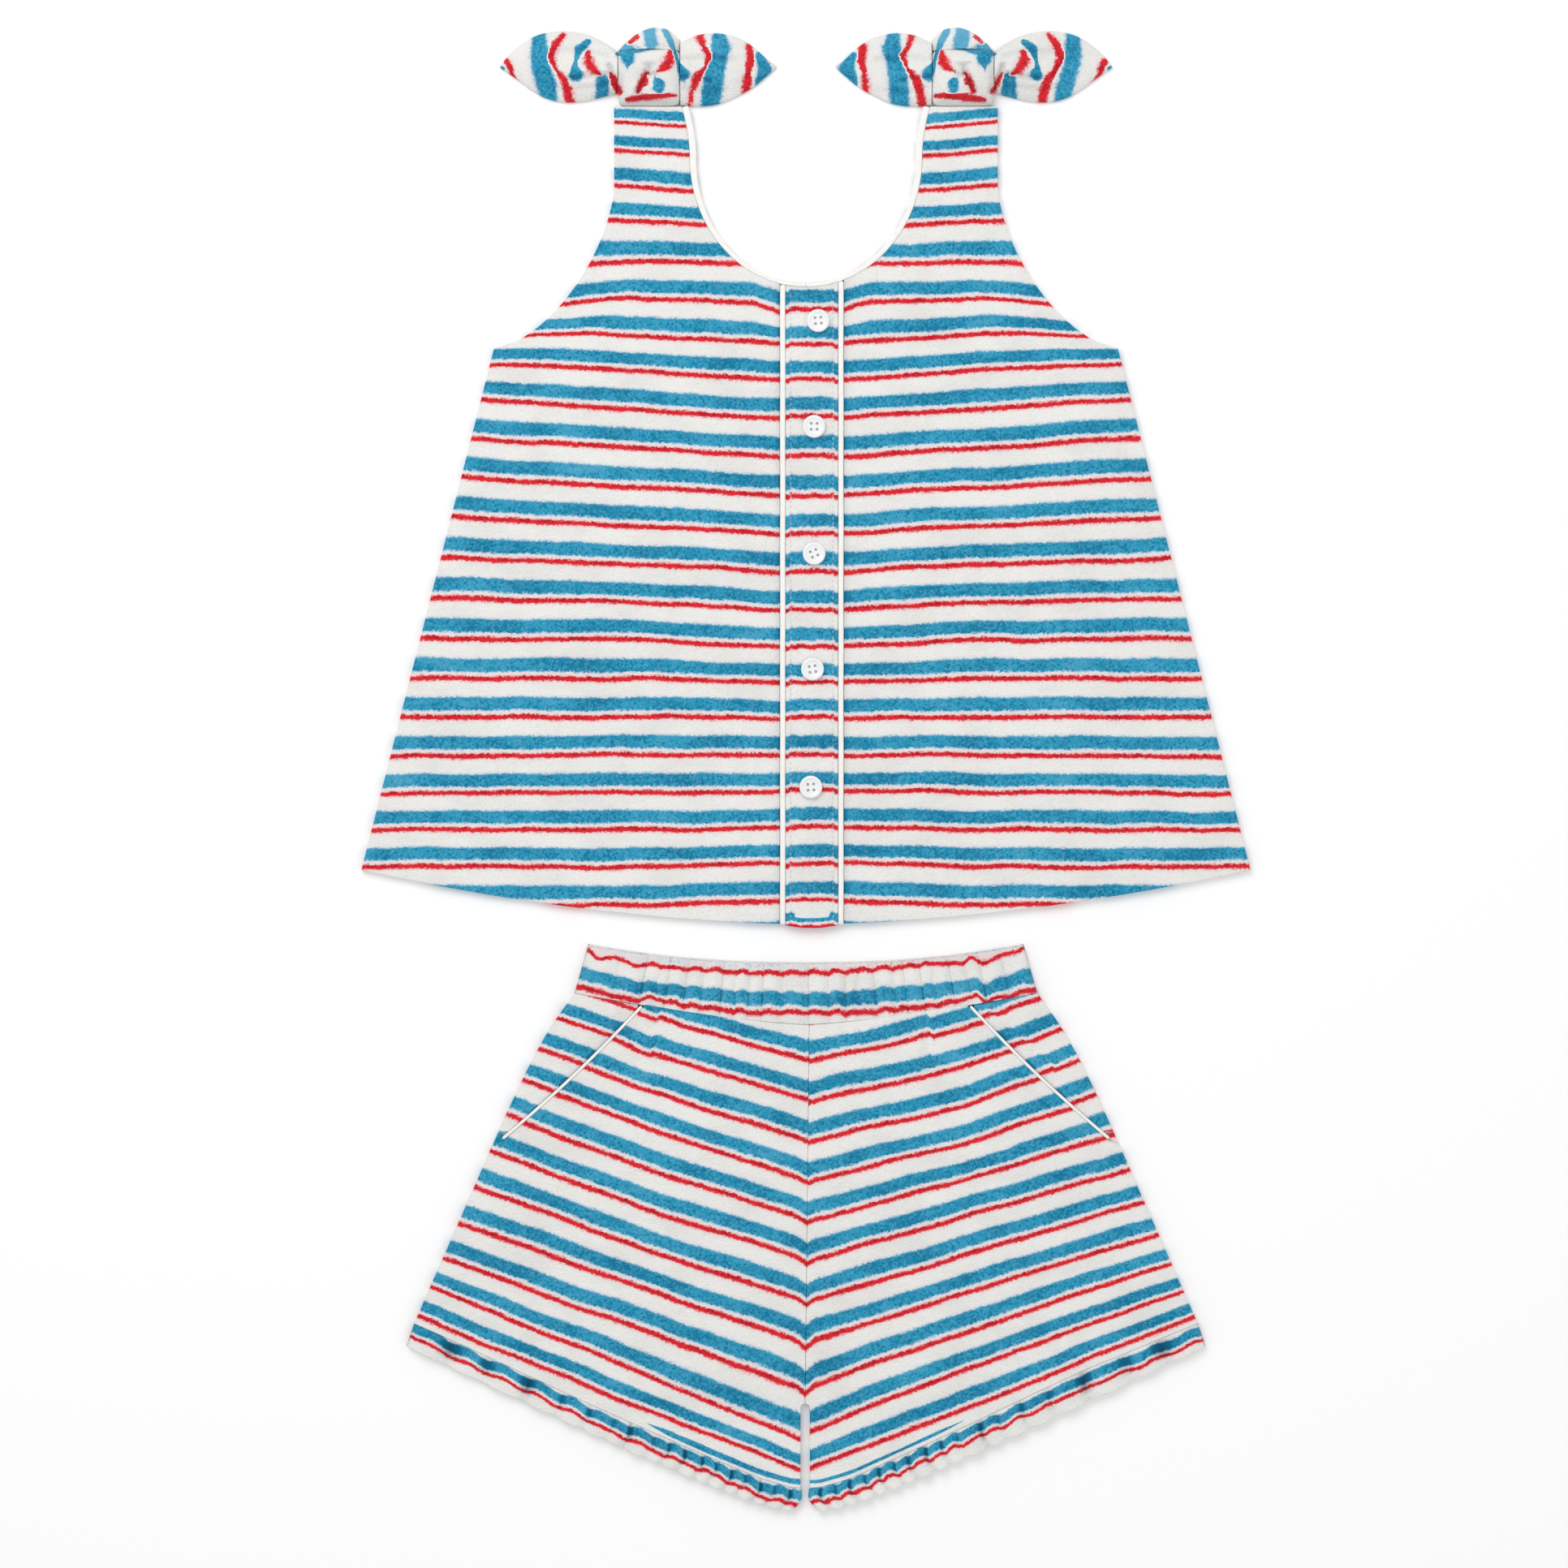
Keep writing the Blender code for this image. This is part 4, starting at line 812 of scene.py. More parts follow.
def striped_towelling():
    """Cotton towelling with blue and red stripes dyed into its looped pile, and painted shade and painted
    light from each point's painted_shading value.
    """
    cloth = Finish("striped_towelling", {
        "Roughness": 0.95,
        "Specular IOR Level": 0.15,
        "Sheen Weight": 0.12,
        "Sheen Roughness": 0.5,
    })
    place = cloth.place()
    cut = cloth.node("ShaderNodeUVMap", {"uv_map": "cut"}, {})
    count = cloth.node("ShaderNodeSeparateXYZ", {}, {0: cut}, 1)
    painted_shading = cloth.node("ShaderNodeAttribute", {"attribute_name": "painted_shading"}, {}, "Fac")
    loop_inputs = {"Vector": place, "Scale": 1 / (LOOP_SIZE * MM), "Randomness": 0.95}
    loops = cloth.node("ShaderNodeTexVoronoi", {}, loop_inputs)
    each_loop = cloth.node("ShaderNodeSeparateXYZ", {}, {0: loops.pick("Color")}, 0)
    drift = cloth.mottle(place, DRIFT_SIZE, 1.0)
    waver = cloth.mottle(place, WAVER_SIZE)
    specks = cloth.mottle(place, SPECK_SIZE)
    patches = cloth.mottle(place, PATCH_SIZE, 4.0, PATCH_STRETCH)
    along = count + drift * DRIFT_STRAY + waver * WAVER_STRAY
    along = along + (each_loop - 0.5) * LOOP_STRAY + specks * SPECK_STRAY
    share = (along + STRIPE_START).fraction()
    blue_middle = STRIPE_START - BLUE_BEFORE_RED

    def band(middle, half, soft):
        """1 on a stripe of a half width about a middle, with soft edges."""
        return share.rise(middle - half - soft, middle - half + soft) * (
            1 - share.rise(middle + half - soft, middle + half + soft)
        )

    ground = cloth.layered(GROUND, (
        (patches + 0.5, 0.35, 0.75, 0.7, GROUND_SHADE),
        (specks + 0.5, 0.5, 0.75, 0.4, GROUND_SHADE),
    ))
    blue_halo = band(blue_middle, BLUE_HALF + HALO_WIDER, BLUE_HALO_SOFT)
    pink_halo = band(STRIPE_START, RED_HALF + HALO_WIDER, PINK_HALO_SOFT)
    ground = cloth.blend(blue_halo * BLUE_HALO_STRENGTH, ground, BLUE_HALO)
    ground = cloth.blend(pink_halo * PINK_HALO_STRENGTH, ground, PINK_HALO)
    blue_dye_and_shading = cloth.layered(BLUE, (
        (patches + 0.5 + specks * 0.3, 0.4, 0.7, 0.75, BLUE_DEEP),
        (each_loop, 0.55, 0.95, 0.3, BLUE_PALE),
        (1 - each_loop, 0.6, 0.95, 0.75, BLUE_DEEP),
        (0.5 - patches, 0.55, 0.85, 0.6, BLUE_PALE),
    ))
    # Painted shade darkens the dyed blue further, and values below zero pale it: painted light on gathers, a
    # paler blue on the bow's loop
    blue_dye_and_shading = cloth.blend((painted_shading - BLUE_SHADE_FROM) * BLUE_SHADE_RATE, blue_dye_and_shading, BLUE_DEEP)
    blue_dye_and_shading = cloth.blend((0 - painted_shading) * BLUE_PALING_RATE, blue_dye_and_shading, BLUE_PALE)
    dyed_red = cloth.layered(RED, ((waver + 0.5 + each_loop * 0.4 - 0.2, 0.4, 0.75, 1.0, RED_DEEP),))
    colour = cloth.blend(band(blue_middle, BLUE_HALF, BLUE_SOFT), ground, blue_dye_and_shading)
    colour = cloth.blend(band(STRIPE_START, RED_HALF, RED_SOFT), colour, dyed_red)
    # Painted shade in creases, beside the pipings and pocket edges and over the bows, multiplied into the
    # colour
    colour = cloth.blend(painted_shading, colour, CREASE_SHADE, "MULTIPLY")
    cloth.paint(colour)
    cloth.raise_pile(1 - loops * 1.1 + specks * 0.4, 0.45, 0.8)
    return cloth.material


def woven_white(name, colour, shade):
    """Fine white cotton, as on piping, binding and thread."""
    tape = Finish(name, {"Roughness": 0.75, "Specular IOR Level": 0.25, "Sheen Weight": 0.1})
    place = tape.place()
    rib_inputs = {"Vector": place, "Scale": 1 / (TAPE_RIB * MM), "Distortion": 1.5, "Detail": 1.0}
    ribs = tape.node("ShaderNodeTexWave", {"bands_direction": "DIAGONAL"}, rib_inputs)
    tape.paint(tape.layered(colour, ((tape.mottle(place, 4.0, 3.0) + 0.5, 0.4, 0.8, 0.7, shade),)))
    tape.raise_pile(ribs, 0.12, 0.7)
    return tape.material


def button_plastic():
    """White moulded plastic with a faint cloudiness."""
    plastic = Finish("button_plastic", {
        "Roughness": 0.28,
        "Specular IOR Level": 0.5,
        "Coat Weight": 0.25,
        "Coat Roughness": 0.12,
    })
    place = plastic.place()
    cloud = plastic.mottle(place, 5.0, 3.0)
    plastic.paint(plastic.blend(cloud + 0.5, seen(241, 241, 241), seen(229, 231, 233)))
    plastic.raise_pile(plastic.mottle(place, 0.7), 0.01, 0.3)
    return plastic.material


TOWELLING = striped_towelling()
WHITE_TAPE = woven_white("white_tape", seen(241, 240, 236), seen(231, 230, 226))
SEWING_THREAD = woven_white("sewing_thread", seen(196, 200, 206), seen(176, 186, 196))
# Grey thread in the button holes, partly real thread and partly painted shade of the holes
HOLE_THREAD_AND_SHADE = woven_white("hole_thread_and_painted_shade", seen(196, 196, 198), seen(176, 176, 180))
BUTTON_PLASTIC = button_plastic()


# Making meshes


def add_mesh(name, points, faces, material, cuts=None, folds=None):
    """A smooth mesh in the set's own frame, riding on it, from points in millimetres."""
    mesh = bpy.data.meshes.new(name)
    mesh.from_pydata([(x * MM, (y + SHIFT_Y) * MM, z * MM) for x, y, z in points], [], faces)
    mesh.shade_smooth()
    if cuts:
        layer = mesh.uv_layers.new(name="cut")
        corners = [0] * len(mesh.loops)
        mesh.loops.foreach_get("vertex_index", corners)
        layer.data.foreach_set("uv", [value for corner in corners for value in cuts[corner]])
    # Each point's painted shading: painted shade above 0 and painted light below it
    if folds:
        mesh.attributes.new("painted_shading", "FLOAT", "POINT").data.foreach_set("value", folds)
    mesh.materials.append(material)
    piece = bpy.data.objects.new(name, mesh)
    bpy.context.scene.collection.objects.link(piece)
    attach(piece, "root")
    return piece


def weld(plans):
    """Points and faces of a skin of cloth, from plans that meet edge to edge."""
    points, faces, made = [], [], {}
    for plan in plans:
        numbers = []
        for row in plan:
            line = []
            for point in row:
                key = (round(point[0], 4), round(point[1], 4))
                if key not in made:
                    made[key] = len(points)
                    points.append(point)
                line.append(made[key])
            numbers.append(line)
        for below, above in zip(numbers, numbers[1:]):
            for i in range(len(below) - 1):
                faces.append((below[i], below[i + 1], above[i + 1], above[i]))
    return points, faces


def rim_of(faces):
    """The points along the edges of a skin."""
    sides = Counter()
    for face in faces:
        for i in range(4):
            sides[frozenset((face[i], face[i - 1]))] += 1
    return {point for side, uses in sides.items() if uses == 1 for point in side}


def on_floor(x, y, u, v):
    """The underside of a piece that lies on the surface."""
    return 0.0


def add_cloth(name, plans, underside, stripe, thickness=None, painted_shading=None, uneven=True):
    """A closed shell of towelling over plans that meet, with its edges rolled over.

    Underside, thickness, stripe count and painted shading, which is painted shade above 0 and painted light
    below it, are functions of x, y, u and v.
    """
    plan_points, top_faces = weld(plans)
    rim = rim_of(top_faces)
    near = kdtree.KDTree(len(rim))
    for i in rim:
        near.insert((plan_points[i][0], plan_points[i][1], 0.0), i)
    near.balance()
    upper, lower, cuts, folds = [], [], [], []
    for x, y, u, v in plan_points:
        away = clamp(near.find((x, y, 0.0))[2] / EDGE_ROUND)
        full = math.sqrt(1 - (1 - away) ** 2)
        under = underside(x, y, u, v)
        thick = thickness(x, y, u, v) if thickness else CLOTH
        if uneven:
            thick += pile_relief(x, y) * away
        edge = min(thick, CLOTH) / 2
        upper.append((x, y, under + edge + (thick - edge) * full))
        lower.append((x, y, under + edge - edge * full))
        cuts.append((x * MM, stripe(x, y, u, v)))
        folds.append(painted_shading(x, y, u, v) if painted_shading else 0.0)
    kept = [i for i in range(len(upper)) if i not in rim]
    below = {i: i for i in rim}
    below.update({i: len(upper) + place for place, i in enumerate(kept)})
    faces = top_faces + [tuple(below[i] for i in reversed(face)) for face in top_faces]
    piece = add_mesh(
        name, upper + [lower[i] for i in kept], faces, TOWELLING,
        cuts + [cuts[i] for i in kept], folds + [folds[i] for i in kept],
    )
    width = sum(max(line_length(row) for row in plan) for plan in plans) * MM
    length = max(line_length(column) for plan in plans for column in zip(*plan)) * MM
    piece["cut"] = (width, length, clamp(sum(map(plan_area, plans)) / (width * length)))
    return piece


def declare(piece, node, fullness=1.0):
    """Hide the solid that the cloth stands for, and work out the size that it was cut to, which is not kept.

    Fullness is how much wider the cloth was cut than it now lies.
    """
    width, length, filled = piece["cut"]
    flat = (width * fullness, length)
    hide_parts(node)
    max(0.3, filled) * flat[0] * flat[1]


def squarish(value, power):
    """A sine or cosine pushed outwards, so that a circle drawn with it nears a square."""
    return math.copysign(abs(value) ** power, value)


def tube_rings(path, half_widths, half_heights, sides, power=1.0):
    """Rings of points round a path, lying across it; a power below 1 squares them off."""
    rings = []
    for i, point in enumerate(path):
        before, after = Vector(path[max(0, i - 1)]), Vector(path[min(len(path) - 1, i + 1)])
        along = (after - before).normalized()
        aside = along.cross(Vector((0, 0, 1))).normalized()
        over = aside.cross(along)
        ring = []
        for side in range(sides):
            turn = math.tau * side / sides
            offset = aside * (half_widths[i] * squarish(math.cos(turn), power))
            offset += over * (half_heights[i] * squarish(math.sin(turn), power))
            ring.append(tuple(Vector(point) + offset))
        rings.append(ring)
    return rings


def tube_faces(rings, sides, first=0):
    """Faces of a closed tube whose rings start at a point number."""
    faces = []
    for ring in range(rings - 1):
        for side in range(sides):
            a = first + ring * sides + side
            b = first + ring * sides + (side + 1) % sides
            faces.append((a, b, b + sides, a + sides))
    faces.append(tuple(first + side for side in reversed(range(sides))))
    faces.append(tuple(first + (rings - 1) * sides + side for side in range(sides)))
    return faces


def add_piping(name, path, half_widths, half_height):
    """A round-ended tube of white tape along a path."""
    first, second = Vector(path[0]), Vector(path[1])
    last, before = Vector(path[-1]), Vector(path[-2])
    lead, tail = (second - first).normalized(), (before - last).normalized()
    head_points = [tuple(first + lead * run) for run, share in PIPING_CAP]
    tail_points = [tuple(last + tail * run) for run, share in reversed(PIPING_CAP)]
    points = head_points + path[1:-1] + tail_points
    cap_shares = [share for run, share in PIPING_CAP]
    shares = cap_shares + [1.0] * (len(path) - 2) + cap_shares[::-1]
    cap_rings = len(PIPING_CAP)
    widths = half_widths[:1] * cap_rings + half_widths[1:-1] + half_widths[-1:] * cap_rings
    widths = [width * share for width, share in zip(widths, shares)]
    heights = [half_height * share for share in shares]
    rings = tube_rings(points, widths, heights, PIPING_SIDES, PIPING_SQUARENESS)
    faces = tube_faces(len(rings), PIPING_SIDES)
    return add_mesh(name, [p for ring in rings for p in ring], faces, WHITE_TAPE)


def add_stitches(name, path):
    """A row of small sunk stitches along a path of (x, y, z) points."""
    points, faces = [], []
    distances = [0.0]
    for before, after in zip(path, path[1:]):
        distances.append(distances[-1] + math.dist(before, after))

    def at(run):
        """The point that lies a distance along the path."""
        i = max(k for k in range(len(path) - 1) if k == 0 or distances[k] <= run)
        share = (run - distances[i]) / (distances[i + 1] - distances[i])
        return Vector(path[i]).lerp(Vector(path[i + 1]), share)

    run = STITCH_GAP
    while run + STITCH_LENGTH < distances[-1]:
        centres, radii = [], []
        for share, lift, full in STITCH_SHAPE:
            lifted = Vector((0, 0, lift * STITCH_RADIUS))
            centres.append(tuple(at(run + share * STITCH_LENGTH) + lifted))
            radii.append(STITCH_RADIUS * full)
        rings = tube_rings(centres, radii, radii, STITCH_SIDES)
        faces += tube_faces(len(rings), STITCH_SIDES, len(points))
        points += [p for ring in rings for p in ring]
        run += STITCH_LENGTH + STITCH_GAP
    return add_mesh(name, points, faces, SEWING_THREAD)


# Stripe counts


def count_at(rows, y):
    """The stripe count at a height, from (count, height) rows in falling order."""
    for (count, height), (next_count, next_height) in zip(rows, rows[1:]):
        if y >= next_height:
            break
    return count + (next_count - count) * (height - y) / (height - next_height)


def sag_at(sag, y, away):
    """How far the stripes sag at a height and a distance from the edge that draws them down."""
    middle, reach, width, depth = sag
    return depth * clamp(1 - away / width) ** 1.2 * math.exp(-(((y - middle) / reach) ** 2))


def top_stripe(x, y, u, v):
    """Stripe count on the top, whose stripes sag at the armholes and beside the band's head."""
    out = abs(x) - TOP_STRIPE_X
    rows = []
    for count, height, inwards, outwards in TOP_STRIPES:
        rows.append((count, height + (inwards if out < 0 else outwards) * out))
    from_band = abs(x - BAND_CENTRE_X) - PIPING_X - PIPING_HALF
    sag = sag_at(ARMHOLE_SAG, y, armhole_half(y) - abs(x))
    sag += sag_at(BAND_HEAD_SAG, min(y, BAND_HEAD_SAG[0]), from_band)
    return count_at(rows, y + sag)


def band_stripe(x, y, u, v):
    """Stripe count on the button band, whose stripes drop outside its stitching."""
    out = abs(x - BAND_CENTRE_X) - STITCH_FROM_CENTRE
    drop = BAND_EDGE_DROP * clamp(out / BAND_EDGE_RUN + BAND_EDGE_START)
    drop -= BAND_STITCH_RISE * math.exp(-((out / BAND_STITCH_REACH) ** 2))
    drop -= (band_foot_y(x) - BAND_FOOT_Y) * clamp((BAND_FOOT_BEND_Y - y) / BAND_FOOT_BEND_RUN)
    waver, across, up = BAND_WAVER
    count = count_at(BAND_STRIPES, y + drop + waver * math.sin(across * x + up * y))
    if y > BAND_FOOT_BLUE_Y and out < BAND_FOOT_CORNER:
        count = min(count, BAND_FOOT_WHITE_COUNT)
    return count


def stripe_jog(x, y):
    """How much lower the stripes lie at a point because of the creases they cross."""
    jog = 0.0
    for start_x, start_y, end_x, end_y, reach, step in STRIPE_JOGS:
        away, share = along_line(x, y, (start_x, start_y), (end_x, end_y))
        outward = (x - mix(start_x, end_x, share)) * math.copysign(1.0, start_x)
        jog += step * math.tanh(outward / JOG_WIDTH) * math.exp(-((away / reach) ** 2))
    return jog


def leg_stripe(side, rise=0.0):
    """The stripe count of a leg, with its stripes a rise higher than on the front."""
    sign = -1 if side == "left" else 1

    def stripe(x, y, u, v):
        out = abs(x)
        joined = clamp((y - CROTCH_Y) / LEG_POINT_END + 1)
        point = LEG_POINT * joined * max(0.0, LEG_POINT_X - out)
        rows = []
        for count, inner, middle, outwards in LEG_STRIPES[side]:
            slope = outwards if out > LEG_BEND_X else (middle - inner) / (LEG_BEND_X - LEG_INNER_X)
            rows.append((count, middle + slope * (out - LEG_BEND_X) - max(0.0, count) * point))
        count = count_at(rows, y - rise + stripe_jog(x, y))
        above = y - frill_seam_y(out, sign)
        if above > LAST_WHITE_HEIGHT:
            return count
        half = LAST_BLUE_HALF[side] * clamp((LAST_BLUE_REACH - out) / LAST_BLUE_TAPER)
        reach = abs(above - LAST_BLUE_HEIGHT) / max(half, LAST_BLUE_LEAST)
        if out > LAST_BLUE_REACH:
            return min(count, LAST_WHITE_COUNT)
        return max(LAST_WHITE_COUNT, LAST_BLUE_COUNT - BLUE_HALF * reach)

    return stripe


def waist_stripe(x, y, gather, v):
    """Stripe count on the front of the waistband, whose stripes arch over its gathers."""
    table = WAIST_STRIPES["left" if x < 0 else "right"]
    reach = min(abs(x), table[-1][0])
    top_red, blue, low_red = (read_curve(table, reach, column) for column in (1, 2, 3))
    waver, turning = WAIST_WAVER
    arch = v - WAIST_ARCH * (gather[0] - WAIST_ARCH_FROM) - waver * math.sin(turning * x)
    before = 1 - BLUE_BEFORE_RED
    if arch >= top_red:
        return max(WAIST_TOP_WHITE, WAIST_TOP_RATE * (top_red - arch))
    if arch >= blue:
        return before * (top_red - arch) / (top_red - blue)
    return before + BLUE_BEFORE_RED * (blue - arch) / (blue - low_red)


def waist_back_stripe(x, y, gather, v):
    """Stripe count on the back of the waistband, where blue shows over the front near its ends."""
    blue_start, blue_end = BACK_BLUE_SHOWS
    return BACK_BLUE_COUNT if blue_start < abs(x) < blue_end else BOW_WHITE


def frill_stripe(sign):
    """The stripe count of a frill, by the height above its edge."""

    def stripe(x, y, gather, v):
        above = v * read_curve(FRILL_HEIGHTS, abs(x), 1 if sign < 0 else 2)
        height, crease, turn = gather
        waver, turning = FRILL_WAVER
        red = read_curve(FRILL_HEIGHTS, abs(x), 3 if sign < 0 else 4) + waver * math.sin(turning * x)
        red += FRILL_HOOK[sign] * turn * clamp(height)
        count = (red - above) * BLUE_BEFORE_RED / FRILL_BLUE_ABOVE_RED
        count += FRILL_WAVE_SHIFT * (height - FRILL_WAVE_MIDDLE)
        return min(count, BOW_WHITE)

    return stripe


# The top


def armhole_half(y):
    """Half width of the top at its side seam, armhole or strap."""
    if y <= UNDERARM_Y:
        return mix(CHEST_HALF, HEM_HALF, (UNDERARM_Y - y) / (UNDERARM_Y - HEM_CORNER_Y))
    depth = clamp((UNDERARM_Y + ARMHOLE_DEPTH - y) / ARMHOLE_DEPTH)
    reach = 1 - (1 - depth**ARMHOLE_POWER) ** (1 / ARMHOLE_POWER)
    return STRAP_OUTER_HALF + (CHEST_HALF - STRAP_OUTER_HALF) * reach


def neck_half(y, inset):
    """Half width of the neck opening at a height, with its edge moved into the cloth by an inset."""
    if y >= NECK_CENTRE_Y:
        return NECK_HALF + inset + NECK_FLARE * (y - NECK_CENTRE_Y) ** 2
    drop = (NECK_CENTRE_Y - y) / (NECK_DEPTH + inset)
    return (NECK_HALF + inset) * math.sqrt(max(0.0, 1 - drop**2))


def binding_width(y):
    """Width of the neck binding, which is narrower at the front than on the straps."""
    return mix(BINDING_WIDTH_FRONT, BINDING_WIDTH_STRAP, clamp((y - NECK_CENTRE_Y + NECK_DEPTH) / NECK_DEPTH))


def under_binding(x):
    """Height of the lower edge of the neck binding, less the clearance."""
    width = BINDING_WIDTH_FRONT + 2 * SEAM_GAP
    return NECK_CENTRE_Y - (NECK_DEPTH + width) * math.sqrt(1 - (x / (NECK_HALF + width)) ** 2)


def band_foot_y(x):
    """Height of the button band's foot, which is rounded."""
    return BAND_FOOT_Y + BAND_FOOT_RISE * ((x - BAND_CENTRE_X) / BAND_HALF) ** 2


def hem_y(x):
    """Height of the curved hem of the top."""
    return HEM_CENTRE_Y + (HEM_CORNER_Y - HEM_CENTRE_Y) * (abs(x) / HEM_HALF) ** HEM_CURVE_POWER


def top_panel(inner_x, neck_inset, step, inner_rolled=True):
    """Plan of a half of the top, right of the middle line, from the hem to the end of its strap."""
    inset = neck_inset(NECK_CENTRE_Y - NECK_DEPTH)
    corner_y = NECK_CENTRE_Y - (NECK_DEPTH + inset) * math.sqrt(1 - (inner_x / (NECK_HALF + inset)) ** 2)
    body_length = UNDERARM_Y - HEM_CORNER_Y
    body = [run / body_length for run in section(0, body_length, step, (True, False))][:-1]
    heights = section(UNDERARM_Y, corner_y, step)
    neck_shares = spread(0, 1, round(NECK_ROWS * FINE_STEP / step))[1:]
    heights += [mix(corner_y, NECK_CENTRE_Y, share**NECK_ROW_POWER) for share in neck_shares]
    heights += section(NECK_CENTRE_Y, STRAP_TOP_Y, step, (False, True))[1:]
    inner_side = [(inner_x, mix(hem_y(inner_x), UNDERARM_Y, share)) for share in body]
    inner_side += [(max(inner_x, neck_half(y, neck_inset(y))), y) for y in heights]
    outer_heights = [mix(HEM_CORNER_Y, UNDERARM_Y, share) for share in body] + heights
    outer_side = [(armhole_half(y), y) for y in outer_heights]
    columns = section(inner_x, HEM_HALF, step, (inner_rolled, True))
    hem = [(x, hem_y(x)) for x in columns]
    shares = [(x - inner_x) / (HEM_HALF - inner_x) for x in columns]
    strap_end = [mix(inner_side[-1], outer_side[-1], share) for share in shares]
    return lay_out(inner_side, outer_side, hem, strap_end)


def lofted(loft, flutes, folds):
    """An underside that rises off the back in the middle of a panel, with flutes and soft folds."""

    def underside(x, y, u, v):
        flute = 1 - FLUTE_SHARE * (1 - math.cos(math.tau * flutes * u)) / 2
        inside = swell(u) * swell(v, 0.5)
        relief = fold_relief(folds, abs(x), y) * clamp(4 * inside)
        return max(FRONT_Z, FRONT_Z + loft * inside * flute + relief)

    return underside


def make_top():
    """Back, fronts and neck binding of the top."""

    def back_neck(y):
        """Inset of the back's neck edge, which just shows over the front in the middle."""
        above = y - NECK_CENTRE_Y + NECK_DEPTH
        return mix(-BACK_NECK_SHOWS, SEAM_GAP, clamp(above / BACK_NECK_REACH))

    def beside_band(x, y, u, v):
        """Shadow that the raised piping throws on the front beside it."""
        away = abs(x - BAND_CENTRE_X) - PIPING_X - PIPING_HALF
        return SHADE_BESIDE_BAND * math.exp(-away / SHADE_REACH)

    right = top_panel(0.0, back_neck, HIDDEN_STEP, inner_rolled=False)
    back = [mirrored(right), right]
    piece = add_cloth("back_of_top", back, on_floor, top_stripe, uneven=False)
    declare(piece, "top_back")
    for side, sign in SIDES:
        inner_x = PIPING_X + PIPING_HALF + SEAM_GAP + sign * BAND_CENTRE_X
        plan = top_panel(inner_x, lambda y: binding_width(y) + SEAM_GAP, FINE_STEP)
        if side == "left":
            plan = mirrored(plan)
        lie = lofted(TOP_LOFT, TOP_FLUTES, TOP_FOLDS)
        piece = add_cloth(f"front_of_top_{side}", [plan], lie, top_stripe, None, beside_band)
        binding = make_binding(side, sign)
        declare(piece, f"top_front_{side}")


def make_binding(side, sign):
    """Half of the narrow neck binding, from the middle of the front to the end of a strap."""
    path, half_widths = [], []
    for turn in spread(math.degrees(SEAM_GAP / 2 / NECK_HALF), 90.0, BINDING_ROUND_STEPS):
        angle = math.radians(turn)
        half = binding_width(NECK_CENTRE_Y - NECK_DEPTH * math.cos(angle)) / 2
        x = (NECK_HALF + half) * math.sin(angle)
        path.append((sign * x, NECK_CENTRE_Y - (NECK_DEPTH + half) * math.cos(angle)))
        half_widths.append(half)
    for y in spread(NECK_CENTRE_Y, STRAP_TOP_Y, BINDING_STRAP_STEPS)[1:]:
        half = binding_width(y) / 2
        path.append((sign * neck_half(y, half), y))
        half_widths.append(half)
    path = [(x, y, FRONT_Z + BINDING_HEIGHT / 2) for x, y in path]
    piece = add_piping(f"binding_of_neck_{side}", path, half_widths, BINDING_HEIGHT / 2)
    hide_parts(f"neck_binding_{side}")
    return piece


def make_button_band():
    """The button band, the piping sewn into its long edges, its stitching and its buttons."""
    left_x, right_x = BAND_CENTRE_X - BAND_HALF, BAND_CENTRE_X + BAND_HALF
    across = section(left_x, right_x, BAND_STEP, (True, True))
    foot = [(x, band_foot_y(x)) for x in across]
    head = [(x, under_binding(x)) for x in across]
    plan = lay_between(foot, head, section_shares(BAND_TOP_Y - BAND_FOOT_Y, FINE_STEP))

    def thickness(x, y, u, v):
        from_stitches = abs(x - BAND_CENTRE_X) - STITCH_FROM_CENTRE
        sunk = STITCH_SINK * math.exp(-((from_stitches / STITCH_GROOVE_HALF) ** 2))
        return BAND_THICKNESS + BAND_CROWN * swell(u) - sunk

    band = add_cloth("front_band", [plan], lambda x, y, u, v: FRONT_Z, band_stripe, thickness)
    extras = []
    stray, turning = PIPING_WAVER
    for side, sign in SIDES:
        x = BAND_CENTRE_X + sign * PIPING_X
        ys = spread(band_foot_y(x), under_binding(x) - SEAM_GAP, PIPING_STEPS)
        path = [(x + stray * math.sin(turning * y + sign), y, FRONT_Z + PIPING_HEIGHT / 2) for y in ys]
        piping = add_piping(f"piping_of_band_{side}", path, [PIPING_HALF] * len(path), PIPING_HEIGHT / 2)
        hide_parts(f"band_piping_{side}")
        row_x = BAND_CENTRE_X + sign * STITCH_FROM_CENTRE
        row_z = FRONT_Z + BAND_THICKNESS - STITCH_SEAT
        stitches = [(row_x, y, row_z) for y in spread(BAND_FOOT_Y + 1, BAND_TOP_Y - 1, STITCH_ROW_STEPS)]
        extras += [piping, add_stitches(f"stitches_of_band_{side}", stitches)]
    declare(band, "button_band")
    for number, place in enumerate(BUTTON_PLACES, start=1):
        make_button(number, *place)


def turned_form(middle, profile, sides, first=0):
    """Points and faces of a closed form round an upright line, from a profile of (radius, height)."""
    points = []
    for radius, z in profile:
        for side in range(sides):
            angle = math.tau * side / sides
            points.append((middle[0] + radius * math.cos(angle), middle[1] + radius * math.sin(angle), z))
    return points, tube_faces(len(profile), sides, first)


def turned(x, y, turn):
    """A point turned about the origin by a number of degrees."""
    cosine, sine = math.cos(math.radians(turn)), math.sin(math.radians(turn))
    return x * cosine - y * sine, x * sine + y * cosine


def in_each_hole(profile, sides, turn=0.0):
    """Points and faces of four closed forms, one round the middle of each hole of a turned button."""
    points, faces = [], []
    for across in (-1, 1):
        for up in (-1, 1):
            middle = turned(across * HOLE_FROM_MIDDLE, up * HOLE_FROM_MIDDLE, turn)
            more_points, more_faces = turned_form(middle, profile, sides, len(points))
            points += more_points
            faces += more_faces
    return points, faces


